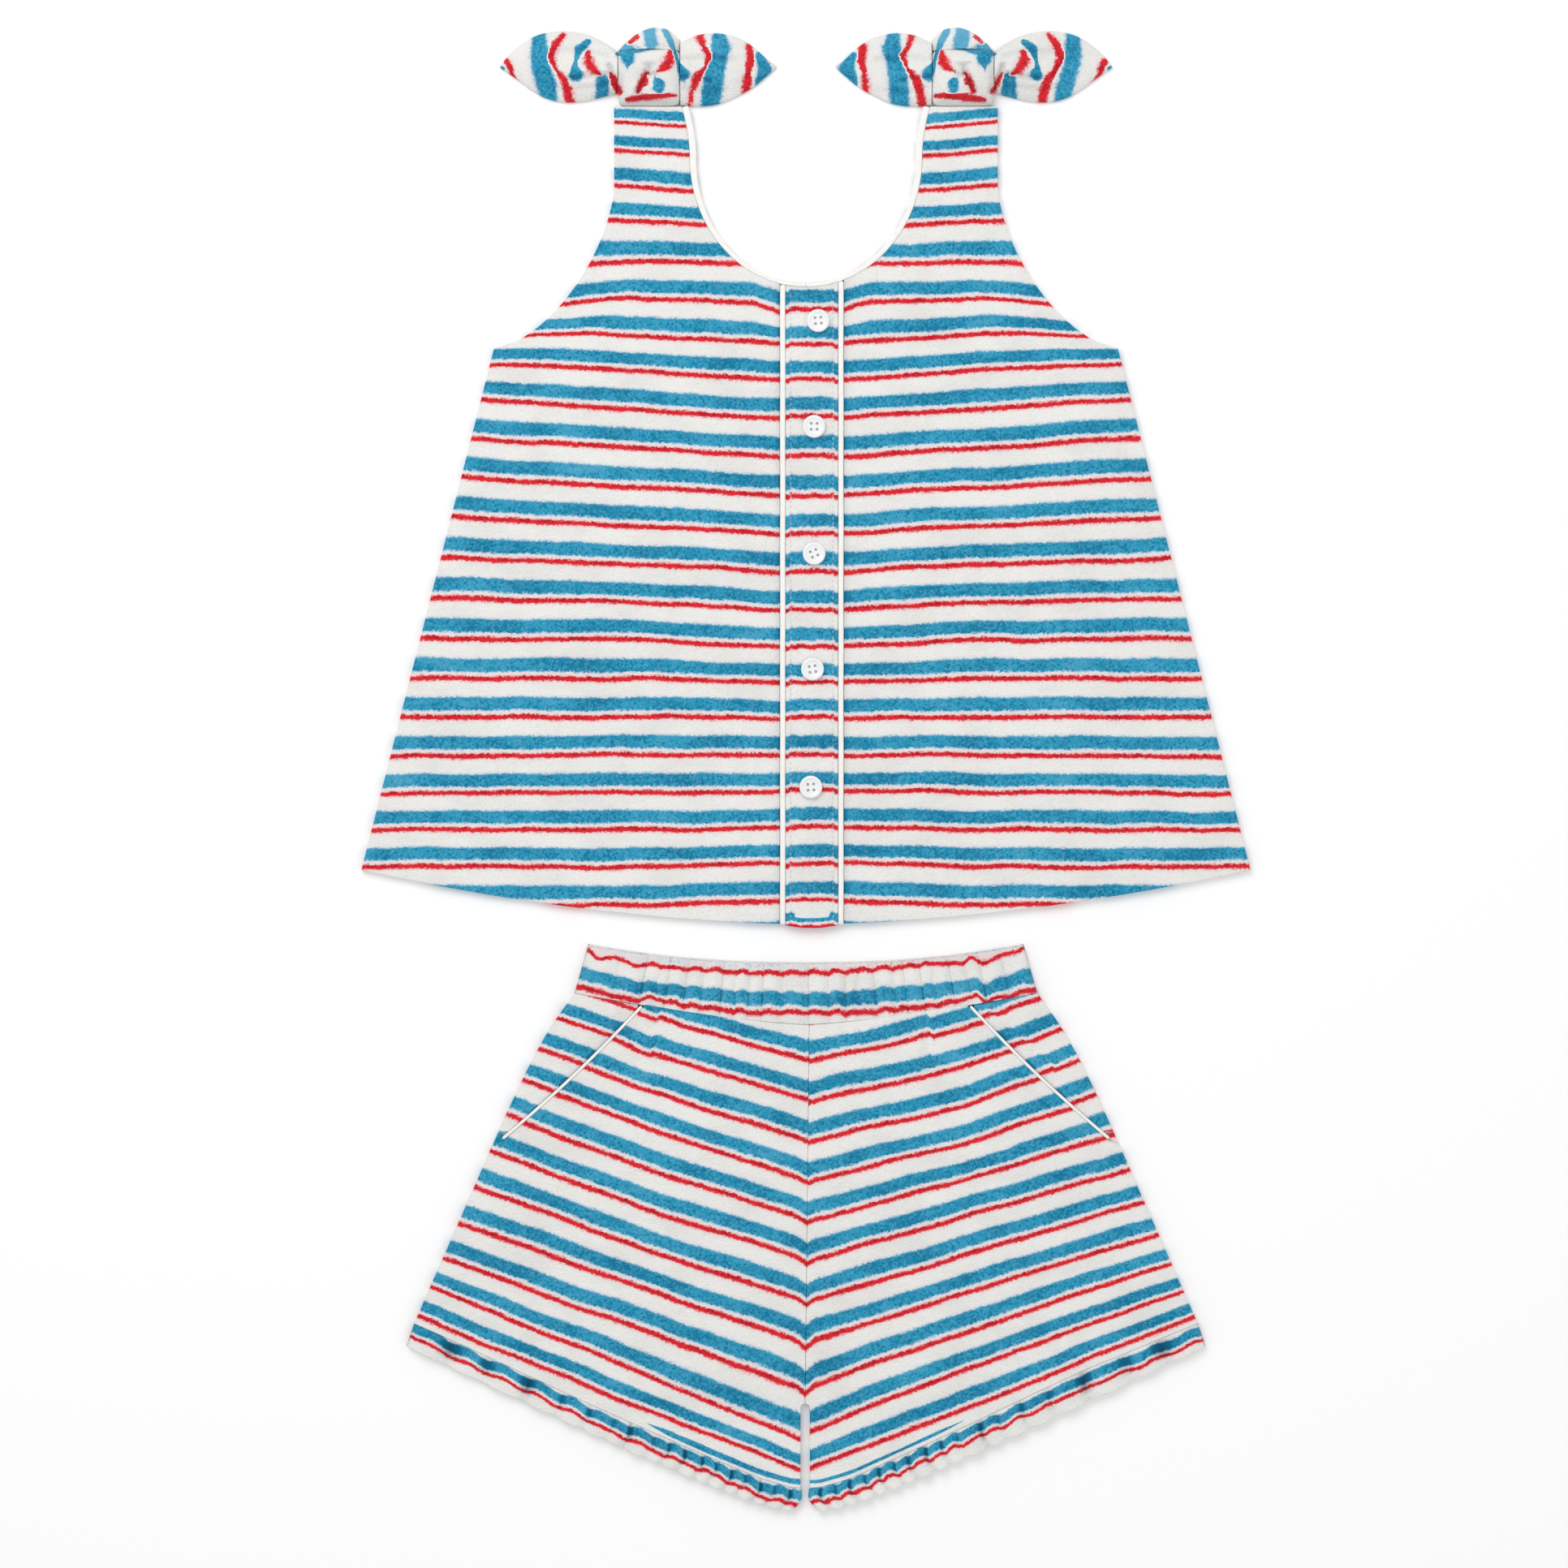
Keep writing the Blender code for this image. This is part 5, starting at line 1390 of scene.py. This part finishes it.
def make_button(number, x, y, turn):
    """One sewn-through button with four drilled holes, and grey thread down in them that is also painted
    shade in the holes.
    """
    base_z = FRONT_Z + BAND_THICKNESS + BAND_CROWN + LAYER_GAP
    points, faces = turned_form((0.0, 0.0), BUTTON_PROFILE, BUTTON_SIDES)
    blank = add_mesh(f"blank_{number}", points, faces, BUTTON_PLASTIC)
    depths = (-DRILL_BEYOND, BUTTON_HEIGHT + DRILL_BEYOND)
    points, faces = in_each_hole([(HOLE_RADIUS, z) for z in depths], HOLE_SIDES)
    drill = add_mesh(f"drill_{number}", points, faces, BUTTON_PLASTIC)
    cut = blank.modifiers.new("holes", "BOOLEAN")
    cut.operation = "DIFFERENCE"
    cut.solver = "EXACT"
    cut.object = drill
    bpy.context.view_layer.update()
    mesh = bpy.data.meshes.new_from_object(blank.evaluated_get(bpy.context.evaluated_depsgraph_get()))
    for spare in (blank, drill):
        bpy.data.objects.remove(spare, do_unlink=True)
    mesh.set_sharp_from_angle(angle=math.radians(BUTTON_SHARP_ANGLE))
    for vertex in mesh.vertices:
        px, py = turned(vertex.co.x / MM, vertex.co.y / MM - SHIFT_Y, turn)
        vertex.co = ((px + x) * MM, (py + y + SHIFT_Y) * MM, vertex.co.z + base_z * MM)
    button = bpy.data.objects.new(f"sewn_button_{number}", mesh)
    bpy.context.scene.collection.objects.link(button)
    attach(button, "root")
    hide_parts(f"button_{number}")
    profile = [(share * HOLE_RADIUS, z) for share, z in THREAD_PROFILE]
    points, faces = in_each_hole(profile, THREAD_SIDES, turn)
    points = [(px + x, py + y, pz + base_z) for px, py, pz in points]
    add_mesh(f"thread_and_shade_of_button_{number}", points, faces, HOLE_THREAD_AND_SHADE)


# The shoulder bows


def mark_reach(marks, x, y):
    """How far outside its nearest mark a point lies, in half widths of that mark."""
    nearest = MARK_FARTHEST
    for points in marks:
        for start, end in zip(points, points[1:]):
            away, share = along_line(x, y, start, end)
            nearest = min(nearest, away / mix(start[2], end[2], share))
    return nearest


def bow_stripe(x, y, u, v):
    """Stripe count on a bow, from the marks of its red and blue stripes."""
    px, py = -abs(x) - KNOT_X, y - KNOT_Y + MARK_DROP
    jitter = MARK_STRAY * noise.noise(Vector((x, y, 0)) / MARK_STRAY_SIZE)
    red = mark_reach(BOW_REDS, px + jitter, py)
    blue = mark_reach(BOW_BLUES, px, py + jitter)
    if red < blue:
        return min(BOW_WHITE, RED_HALF * red)
    return max(BOW_WHITE, 1 - BLUE_BEFORE_RED - BLUE_HALF * blue)


def bow_groove(x, y):
    """Depth of the creases pressed into a bow at a point."""
    px, py = -abs(x) - KNOT_X, y - KNOT_Y
    deepest = 0.0
    for half, depth, points in BOW_GROOVES:
        for start, end in zip(points, points[1:]):
            away, share = along_line(px, py, start, end)
            if away < 3 * half:
                deepest = max(deepest, depth * math.exp(-((away / half) ** 2)))
    return deepest


def bow_painted_shade(x, y, u, v):
    """Painted shade on a bow, deeper in its creases."""
    return BOW_SHADE + GROOVE_SHADE * bow_groove(x, y)


def knot_edge(angle):
    """Plan outline of a knot: a squarish oval."""
    power = 2 / KNOT_PLAN_POWER
    x = KNOT_HALF_WIDTH * squarish(math.cos(angle), power)
    y = (KNOT_HEAD - KNOT_FOOT) / 2 * squarish(math.sin(angle), power)
    return x, y + (KNOT_HEAD + KNOT_FOOT) / 2


def make_knot(side, sign):
    """The tied knot, resting flat on the surface, with the crossing strap pulled over it."""
    middle_y = (KNOT_HEAD + KNOT_FOOT) / 2
    angles = [math.tau * (i + 0.5) / KNOT_SPOKES for i in range(KNOT_SPOKES)]
    points, cuts, folds = [], [], []

    def add(x, y, z):
        px, py = -sign * (KNOT_X + x), KNOT_Y + y
        points.append((px, py, z))
        cuts.append((px * MM, bow_stripe(px, py, 0, 0)))
        folds.append(bow_painted_shade(px, py, 0, 0))

    reaches = [(ring / KNOT_RINGS) ** 0.7 for ring in range(1, KNOT_RINGS - 1)] + list(KNOT_LAST_RINGS)
    for reach in reaches:
        for angle in angles:
            x, y = knot_edge(angle)
            x, y = x * reach, middle_y + (y - middle_y) * reach
            wall = mix(KNOT_FOOT_WALL, KNOT_WALL, clamp((y - KNOT_FOOT) / KNOT_WALL_RUN))
            dome = (KNOT_HEIGHT - wall) * (1 - reach**3) ** 0.8 + wall * (1 - reach**200) ** 0.5
            pressed = KNOT_GROOVES * bow_groove(KNOT_X + x, KNOT_Y + y) * (1 - reach**6)
            uneven = KNOT_PILE * pile_relief(x, y) * (1 - reach**4)
            add(x, y, max(EDGE_HEIGHT / 2, dome - pressed + uneven))
    top_count = len(points)
    for angle in angles:
        x, y = knot_edge(angle)
        add(x * KNOT_FOOT_SHARE, middle_y + (y - middle_y) * KNOT_FOOT_SHARE, 0.0)
    faces = [tuple(range(KNOT_SPOKES)), tuple(reversed(range(top_count, top_count + KNOT_SPOKES)))]
    for ring in range(KNOT_RINGS):
        for i in range(KNOT_SPOKES):
            a, b = ring * KNOT_SPOKES + i, ring * KNOT_SPOKES + (i + 1) % KNOT_SPOKES
            faces.append((a + KNOT_SPOKES, b + KNOT_SPOKES, b, a))
    if sign > 0:
        faces = [tuple(reversed(face)) for face in faces]
    piece = add_mesh(f"knot_{side}", points, faces, TOWELLING, cuts, folds)
    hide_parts(f"bow_{side}_knot")


def placed(plan, sign):
    """A bow piece moved from the middle of its knot to its shoulder, on the left or the right."""
    moved = [[(KNOT_X + x, KNOT_Y + y, u, v) for x, y, u, v in points] for points in plan]
    return moved if sign < 0 else mirrored(moved)


def make_bow_end(side, sign, name, table, direction):
    """A pointed end of the tied strap, full at the knot and thin at its tip."""
    outs = section(table[0][0], table[-1][0], BOW_STEP, (True, True))
    lower = [(direction * out, read_curve(table, out, 1)) for out in outs]
    upper = [(direction * out, read_curve(table, out, 2)) for out in outs]
    if direction < 0:
        lower.reverse()
        upper.reverse()
    tallest = max(read_curve(table, out, 2) - read_curve(table, out, 1) for out in outs)
    plan = lay_between(lower, upper, section_shares(tallest, BOW_STEP))
    length = table[-1][0] - table[0][0]

    def height(x, y, u, v):
        out = (abs(abs(x) + KNOT_X) - table[0][0]) / length
        full = mix(END_ROOT_HEIGHT, END_BODY_HEIGHT, clamp(END_ROOT_RATE * out))
        full *= 1 - END_TIP_THINNER * clamp(END_TIP_RATE * out - END_TIP_LAG) ** END_TIP_POWER
        return max(EDGE_HEIGHT, EDGE_HEIGHT + full * swell(v, 0.55) - bow_groove(x, y) * swell(v, 0.4))

    piece = add_cloth(f"{name}_{side}", [placed(plan, sign)], on_floor, bow_stripe, height, bow_painted_shade)
    declare(piece, f"bow_{side}_{name}", fullness=BOW_END_FULLNESS)


def make_bow_loop(side, sign):
    """The rounded loop of strap that shows above the knot."""
    columns = section(LOOP_TOP[0][0], LOOP_TOP[-1][0], BOW_STEP, (True, True))
    foot = [(x, KNOT_HEAD + SEAM_GAP) for x in columns]
    head = [(x, read_curve(LOOP_TOP, x)) for x in columns]
    plan = lay_between(foot, head, section_shares(LOOP_TALL, BOW_STEP))

    def height(x, y, u, v):
        dome = EDGE_HEIGHT + (LOOP_HEIGHT - EDGE_HEIGHT) * swell(u, 0.6) * math.cos(0.5 * math.pi * v) ** 0.6
        return max(EDGE_HEIGHT, dome - bow_groove(x, y) * swell(u, 0.5))

    # The bow's painted shade, less a paleness that makes the loop's blue paler
    def pale(x, y, u, v):
        return bow_painted_shade(x, y, u, v) - LOOP_PALENESS

    piece = add_cloth(f"loop_{side}", [placed(plan, sign)], on_floor, bow_stripe, height, pale)
    declare(piece, f"bow_{side}_loop", fullness=LOOP_FULLNESS)


# The shorts


def waist_top_y(x):
    """Height of the waistband's top edge."""
    return WAIST_TOP_CENTRE_Y + WAIST_TOP_RISE * (abs(x) / WAIST_TOP_HALF) ** WAIST_TOP_POWER


def waist_seam_y(x):
    """Height of the seam between waistband and legs."""
    return WAIST_SEAM_CENTRE_Y + WAIST_SEAM_RISE * (abs(x) / WAIST_SEAM_HALF) ** WAIST_SEAM_POWER


def frill_seam_y(x, sign):
    """Height of the seam between a leg and its frill, at a distance from the middle line."""
    return read_curve(FRILL_EDGE, x) + read_curve(FRILL_HEIGHTS, x, 1 if sign < 0 else 2)


def frill_seam_end(sign):
    """The point where the seam above a frill meets the shorts' side."""
    x = FRILL_SIDE_HALF
    for step in range(8):
        x = read_curve(SHORTS_SIDE, frill_seam_y(x, sign))
    return x, frill_seam_y(x, sign)


def pocket_edge(share, inset=0.0):
    """A point on the slanted pocket edge, from its top down, moved towards the middle by an inset."""
    x, y = mix(POCKET_TOP, POCKET_FOOT, share)
    run_x, run_y = POCKET_FOOT[0] - POCKET_TOP[0], POCKET_FOOT[1] - POCKET_TOP[1]
    length = math.hypot(run_x, run_y)
    move = inset + POCKET_BOW * math.sin(math.pi * share)
    return x + move * run_y / length, y - move * run_x / length


def pocket_x(y):
    """Distance of the pocket edge from the middle line at a height."""
    return mix(POCKET_TOP[0], POCKET_FOOT[0], (POCKET_TOP[1] - y) / (POCKET_TOP[1] - POCKET_FOOT[1]))


def inseam_half(y, sign):
    """Inner edge of a leg piece: along the centre seam, and below it along the notch between the legs."""
    share = clamp((WAIST_SEAM_CENTRE_Y - y) / (WAIST_SEAM_CENTRE_Y - CROTCH_Y))
    seam_x = sign * mix(CENTRE_SEAM_TOP_X, CROTCH_X, share)
    if y >= CROTCH_Y:
        return seam_x + SEAM_GAP / 2
    opening = math.sqrt(1 - (1 - clamp((CROTCH_Y - y) / NOTCH_ROUND)) ** 2)
    return seam_x + mix(SEAM_GAP / 2, NOTCH_HALF, opening)


def leg_panel(sign, pocket_inset, step):
    """Plan of a leg piece right of the middle line, from the frill's seam up to the waist seam."""
    foot_y = frill_seam_y(NOTCH_HALF, sign)
    heights = section(foot_y, CROTCH_Y - NOTCH_ROUND, step * FOOT_STEP_SHARE, (True, False))
    heights += [CROTCH_Y - share * NOTCH_ROUND for share in (0.7, 0.4, 0.2, 0.08)]
    heights += section(CROTCH_Y, SEAT_Y, step)
    hip = section(SEAT_Y, WAIST_SEAM_CENTRE_Y, step, (False, True))[1:]
    hip_rows = len(hip)
    hip_shares = [(y - SEAT_Y) / (WAIST_SEAM_CENTRE_Y - SEAT_Y) for y in hip]
    heights += hip
    inner_side = [(inseam_half(y, sign), y) for y in heights]
    side_foot_y = frill_seam_end(sign)[1]
    corner = (read_curve(SHORTS_SIDE, POCKET_FOOT[1]), POCKET_FOOT[1])
    if pocket_inset:
        corner = pocket_edge(1.0, pocket_inset)
    low_rows = len(heights) - hip_rows
    run = [(y - foot_y) / (SEAT_Y - foot_y) for y in heights[:low_rows]]
    side_heights = [mix(side_foot_y, corner[1], share) for share in run]
    outer_side = [(read_curve(SHORTS_SIDE, y), y) for y in side_heights]
    outer_side[-1] = corner
    if pocket_inset:
        outer_side += [pocket_edge(mix(1, POCKET_SEAM_SHARE, share), pocket_inset) for share in hip_shares]
    else:
        side_top_y = waist_seam_y(WAIST_SEAM_HALF)
        side_hip = [mix(corner[1], side_top_y, share) for share in hip_shares]
        outer_side += [(read_curve(SHORTS_SIDE, y), y) for y in side_hip]
    outer_side[-1] = (outer_side[-1][0], waist_seam_y(outer_side[-1][0]))
    columns = section(inner_side[0][0], outer_side[0][0], step, (True, True))
    shares = [(x - columns[0]) / (columns[-1] - columns[0]) for x in columns]
    hem = [(x, frill_seam_y(x, sign)) for x in columns]
    hem[0], hem[-1] = inner_side[0], outer_side[0]
    waist_xs = [mix(inner_side[-1][0], outer_side[-1][0], share) for share in shares]
    waist = [(x, waist_seam_y(x)) for x in waist_xs]
    inner_side[-1] = waist[0]
    return lay_out(inner_side, outer_side, hem, waist)


def gather_wave(x):
    """The waistband's gathers, read at a distance across it, for the cloth that hangs below them."""
    total = sum(width for width, height, crease in WAIST_GATHERS)
    run = (x + WAIST_SEAM_HALF) / (2 * WAIST_SEAM_HALF) * total
    for width, height, crease in WAIST_GATHERS:
        if run <= width:
            return height * swell(run / width)
        run -= width
    return 0.0


def make_legs():
    """Fronts and backs of the shorts."""
    lie = lofted(LEG_LOFT, LEG_FLUTES, LEG_FOLDS)

    def under(x, y, u, v):
        """Underside of a leg's front, which comes up at the pocket's edge and below the gathers."""
        along_pocket = clamp((y - POCKET_FOOT[1]) / POCKET_LIP_RUN)
        to_pocket = clamp((abs(x) - pocket_x(y) + POCKET_LIP_REACH) / POCKET_LIP_REACH)
        below_waist = math.exp(-((waist_seam_y(x) - y) / GATHER_BELOW_RUN))
        lift = POCKET_LIP * along_pocket * to_pocket
        return lie(x, y, u, v) + lift + GATHER_SEAM_SHARE * gather_wave(x) * below_waist

    inset = POCKET_PIPING_HALF + SEAM_GAP
    for side, sign in SIDES:
        front = leg_panel(sign, inset, FINE_STEP)
        back = leg_panel(sign, 0.0, HIDDEN_STEP)
        if side == "left":
            front, back = mirrored(front), mirrored(back)
        piece = add_cloth(f"front_of_leg_{side}", [front], under, leg_stripe(side))
        declare(piece, f"shorts_front_{side}")
        piece = add_cloth(f"back_of_leg_{side}", [back], on_floor, leg_stripe(side), uneven=False)
        declare(piece, f"shorts_back_{side}")


def lifted_at_waist(lie):
    """An underside that comes up to the foot of the waistband."""

    def under(x, y, u, v):
        return lie(x, y, u, v) + POCKET_LIP * math.exp(-(max(0.0, waist_seam_y(x) - y) / POCKET_LIP_RUN))

    return under


def make_pockets():
    """The side piece that shows inside each slanted pocket, and the piping on the pocket's edge."""
    inset = -(POCKET_PIPING_HALF + SEAM_GAP)

    def beside_pocket(x, y, u, v):
        """Shadow that the pocket's edge throws on the side piece."""
        return POCKET_SHADE * math.exp(-u / POCKET_SHADE_REACH) * clamp(4 * (1 - v))

    for side in ("left", "right"):
        rows = section_shares(POCKET_SIDE_LENGTH, FINE_STEP)
        inner_side = [pocket_edge(mix(*POCKET_SIDE_SPAN, share), inset) for share in rows]
        inner_side[-1] = (inner_side[-1][0], waist_seam_y(inner_side[-1][0]))
        side_top_y = waist_seam_y(WAIST_SEAM_HALF)
        side_heights = [mix(inner_side[0][1], side_top_y, share) for share in rows]
        outer_side = [(read_curve(SHORTS_SIDE, y), y) for y in side_heights]
        shares = section_shares(POCKET_SIDE_WIDTH, POCKET_SIDE_STEP)
        foot = [mix(inner_side[0], outer_side[0], share) for share in shares]
        waist_xs = [mix(inner_side[-1][0], outer_side[-1][0], share) for share in shares]
        waist = [(x, waist_seam_y(x)) for x in waist_xs]
        plan = lay_out(inner_side, outer_side, foot, waist)
        path = [pocket_edge(share) for share in spread(*POCKET_PIPING_SPAN, POCKET_PIPING_STEPS)]
        if side == "left":
            plan = mirrored(plan)
            path = [(-x, y) for x, y in path]
        lie = lifted_at_waist(lofted(POCKET_SIDE_LOFT, 1, POCKET_FOLDS))
        stripe = leg_stripe(side, POCKET_STRIPE_RISE[side])
        piece = add_cloth(f"pocket_{side}", [plan], lie, stripe, None, beside_pocket)
        height = FRONT_Z + POCKET_LIP + POCKET_PIPING_HEIGHT / 2
        path = [(x, y, height) for x, y in path]
        half_widths = [POCKET_PIPING_HALF] * len(path)
        piping = add_piping(f"piping_of_pocket_{side}", path, half_widths, POCKET_PIPING_HEIGHT / 2)
        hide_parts(f"pocket_piping_{side}")
        declare(piece, f"pocket_side_{side}")


def gather_shadow(gather, shadows, inside):
    """Painted shadow in a gather's creases and on its far side, and painted light on its near side, where
    inside is 0 at the cloth's edges.
    """
    height, crease, turn = gather
    crease_shade, side_shade, crease_height, edge_share = shadows
    in_crease = crease_shade * crease * clamp(1 - height / crease_height)
    return (in_crease + side_shade * turn * clamp(height)) * mix(edge_share, 1.0, inside)


def make_waistband():
    """The gathered front of the waistband over its plain back."""
    shares, gathers = fold_columns(WAIST_GATHERS, GATHER_SAMPLES, GATHER_FULLNESS)

    def outline(columns, rise, step):
        seam_xs = [mix(-WAIST_SEAM_HALF, WAIST_SEAM_HALF, share) for share in columns]
        head_xs = [mix(-WAIST_TOP_HALF, WAIST_TOP_HALF, share) for share in columns]
        seam = [(x, waist_seam_y(x) + SEAM_GAP) for x in seam_xs]
        head = [(x, waist_top_y(x) + rise) for x in head_xs]
        return lay_between(seam, head, section_shares(WAISTBAND_TALL, step))

    def thickness(x, y, gather, v):
        full = WAISTBAND_THICKNESS + GATHER_SOFTNESS * (1 + gather[0] * mix(GATHER_EDGE_SHARE, 1.0, swell(v)))
        return mix(CLOTH + GATHER_SEAM_SHARE * gather[0], full, clamp(v / GATHER_SEAM_RUN))

    def shadow(x, y, gather, v):
        return gather_shadow(gather, WAIST_SHADOWS, swell(v, 0.4))

    front = with_gathers(outline(shares, 0.0, WAISTBAND_STEP), gathers)
    piece = add_cloth("waistband", [front], lambda x, y, u, v: FRONT_Z, waist_stripe, thickness, shadow)
    declare(piece, "waistband_front")
    back = outline(spread(0, 1, WAISTBAND_BACK_COLUMNS), BACK_BAND_SHOWS, WAISTBAND_BACK_STEP)
    back = with_gathers(back, [(1.0, 0.0, 0.0)] * len(back[0]))
    piece = add_cloth("waistband_behind", [back], on_floor, waist_back_stripe, uneven=False)
    declare(piece, "waistband_back")


def frill_plan(sign, samples, step):
    """Plan and gathers of a leg's frill, right of the middle line, from the inseam to the side."""
    shares, gathers = fold_columns(FRILL_WAVES, samples, FRILL_FULLNESS)
    start = inseam_half(frill_seam_y(NOTCH_HALF, sign), sign)
    end_x, end_y = frill_seam_end(sign)
    seam_xs = [mix(start, end_x, share) for share in shares]
    seam = [(x, frill_seam_y(x, sign) - SEAM_GAP) for x in seam_xs]
    tallest = max(height for width, height, crease in FRILL_WAVES)
    edge = []
    for share, (height, crease, turn) in zip(shares, gathers):
        x = mix(start + FRILL_CORNER_ROUND, FRILL_EDGE[-1][0], share)
        drawn_in = FRILL_SCALLOP * (1 - height / tallest) * clamp(8 * share)
        edge.append((x, read_curve(FRILL_EDGE, x) + drawn_in))
    steps = section_shares(math.dist(edge[-1], seam[-1]), step)
    inner = []
    for share in steps:
        x, y = mix(edge[0], seam[0], share)
        inner.append((x - FRILL_CORNER_BULGE * math.sin(math.pi * share), y))
    outer = [mix(edge[-1], seam[-1], share) for share in steps]
    return with_gathers(lay_out(inner, outer, edge, seam), gathers)


def make_frills():
    """The gathered frill round each leg: a waved front over a plain back."""

    def wave_height(x, y, gather, v):
        return FRONT_Z + gather[0] * mix(1.0, FRILL_SEAM_SHARE, v)

    def shadow(x, y, gather, v):
        inside = swell((v - FRILL_SHADOW_START) / (1 - FRILL_SHADOW_START), 0.5)
        return gather_shadow(gather, FRILL_SHADOWS, inside)

    for side, sign in SIDES:
        front = frill_plan(sign, *FRILL_FRONT_MESH)
        back = frill_plan(sign, *FRILL_BACK_MESH)
        if side == "left":
            front, back = mirrored(front), mirrored(back)
        stripe = frill_stripe(sign)
        piece = add_cloth(f"frill_{side}", [front], wave_height, stripe, None, shadow)
        declare(piece, f"frill_front_{side}")
        piece = add_cloth(f"frill_behind_{side}", [back], on_floor, stripe, uneven=False)
        declare(piece, f"frill_back_{side}")


# The floor, the light and the camera


def make_studio():
    """A plain white floor under soft light, seen from straight above."""
    mesh = bpy.data.meshes.new("floor")
    corners = [(x * FLOOR_HALF, y * FLOOR_HALF, -FLOOR_DROP) for x, y in ((-1, -1), (1, -1), (1, 1), (-1, 1))]
    mesh.from_pydata(corners, [], [(0, 1, 2, 3)])
    paper = Finish("white_floor", {"Base Color": seen(252, 252, 252), "Roughness": 0.9})
    mesh.materials.append(paper.material)
    floor = bpy.data.objects.new("floor", mesh)
    bpy.context.scene.collection.objects.link(floor)
    for name, place, size, power in LIGHTS:
        lamp = bpy.data.lights.new(name, "AREA")
        lamp.size = size
        lamp.energy = power
        light = bpy.data.objects.new(name, lamp)
        light.location = place
        light.rotation_euler = (-Vector(place)).to_track_quat("-Z", "Y").to_euler()
        bpy.context.scene.collection.objects.link(light)
    world = bpy.data.worlds.new("studio")
    world.use_nodes = True
    sky = world.node_tree.nodes["Background"]
    sky.inputs["Color"].default_value = (1.0, 1.0, 1.0, 1.0)
    sky.inputs["Strength"].default_value = SKY_STRENGTH
    bpy.context.scene.world = world
    bpy.context.scene.view_settings.view_transform = "Standard"
    camera = bpy.data.cameras.new("photographer")
    camera.lens = LENS
    camera.sensor_width = SENSOR
    view = bpy.data.objects.new("photographer", camera)
    view.location = (CAMERA_X * MM, CAMERA_Y * MM, PHOTO_WIDTH * MM * LENS / SENSOR)
    bpy.context.scene.collection.objects.link(view)
    bpy.context.scene.camera = view


make_studio()
make_top()
make_button_band()
for bow_side, bow_sign in SIDES:
    make_knot(bow_side, bow_sign)
    make_bow_loop(bow_side, bow_sign)
    make_bow_end(bow_side, bow_sign, "outer_end", OUTER_END, -1)
    make_bow_end(bow_side, bow_sign, "inner_end", INNER_END, 1)
make_legs()
make_pockets()
make_waistband()
make_frills()
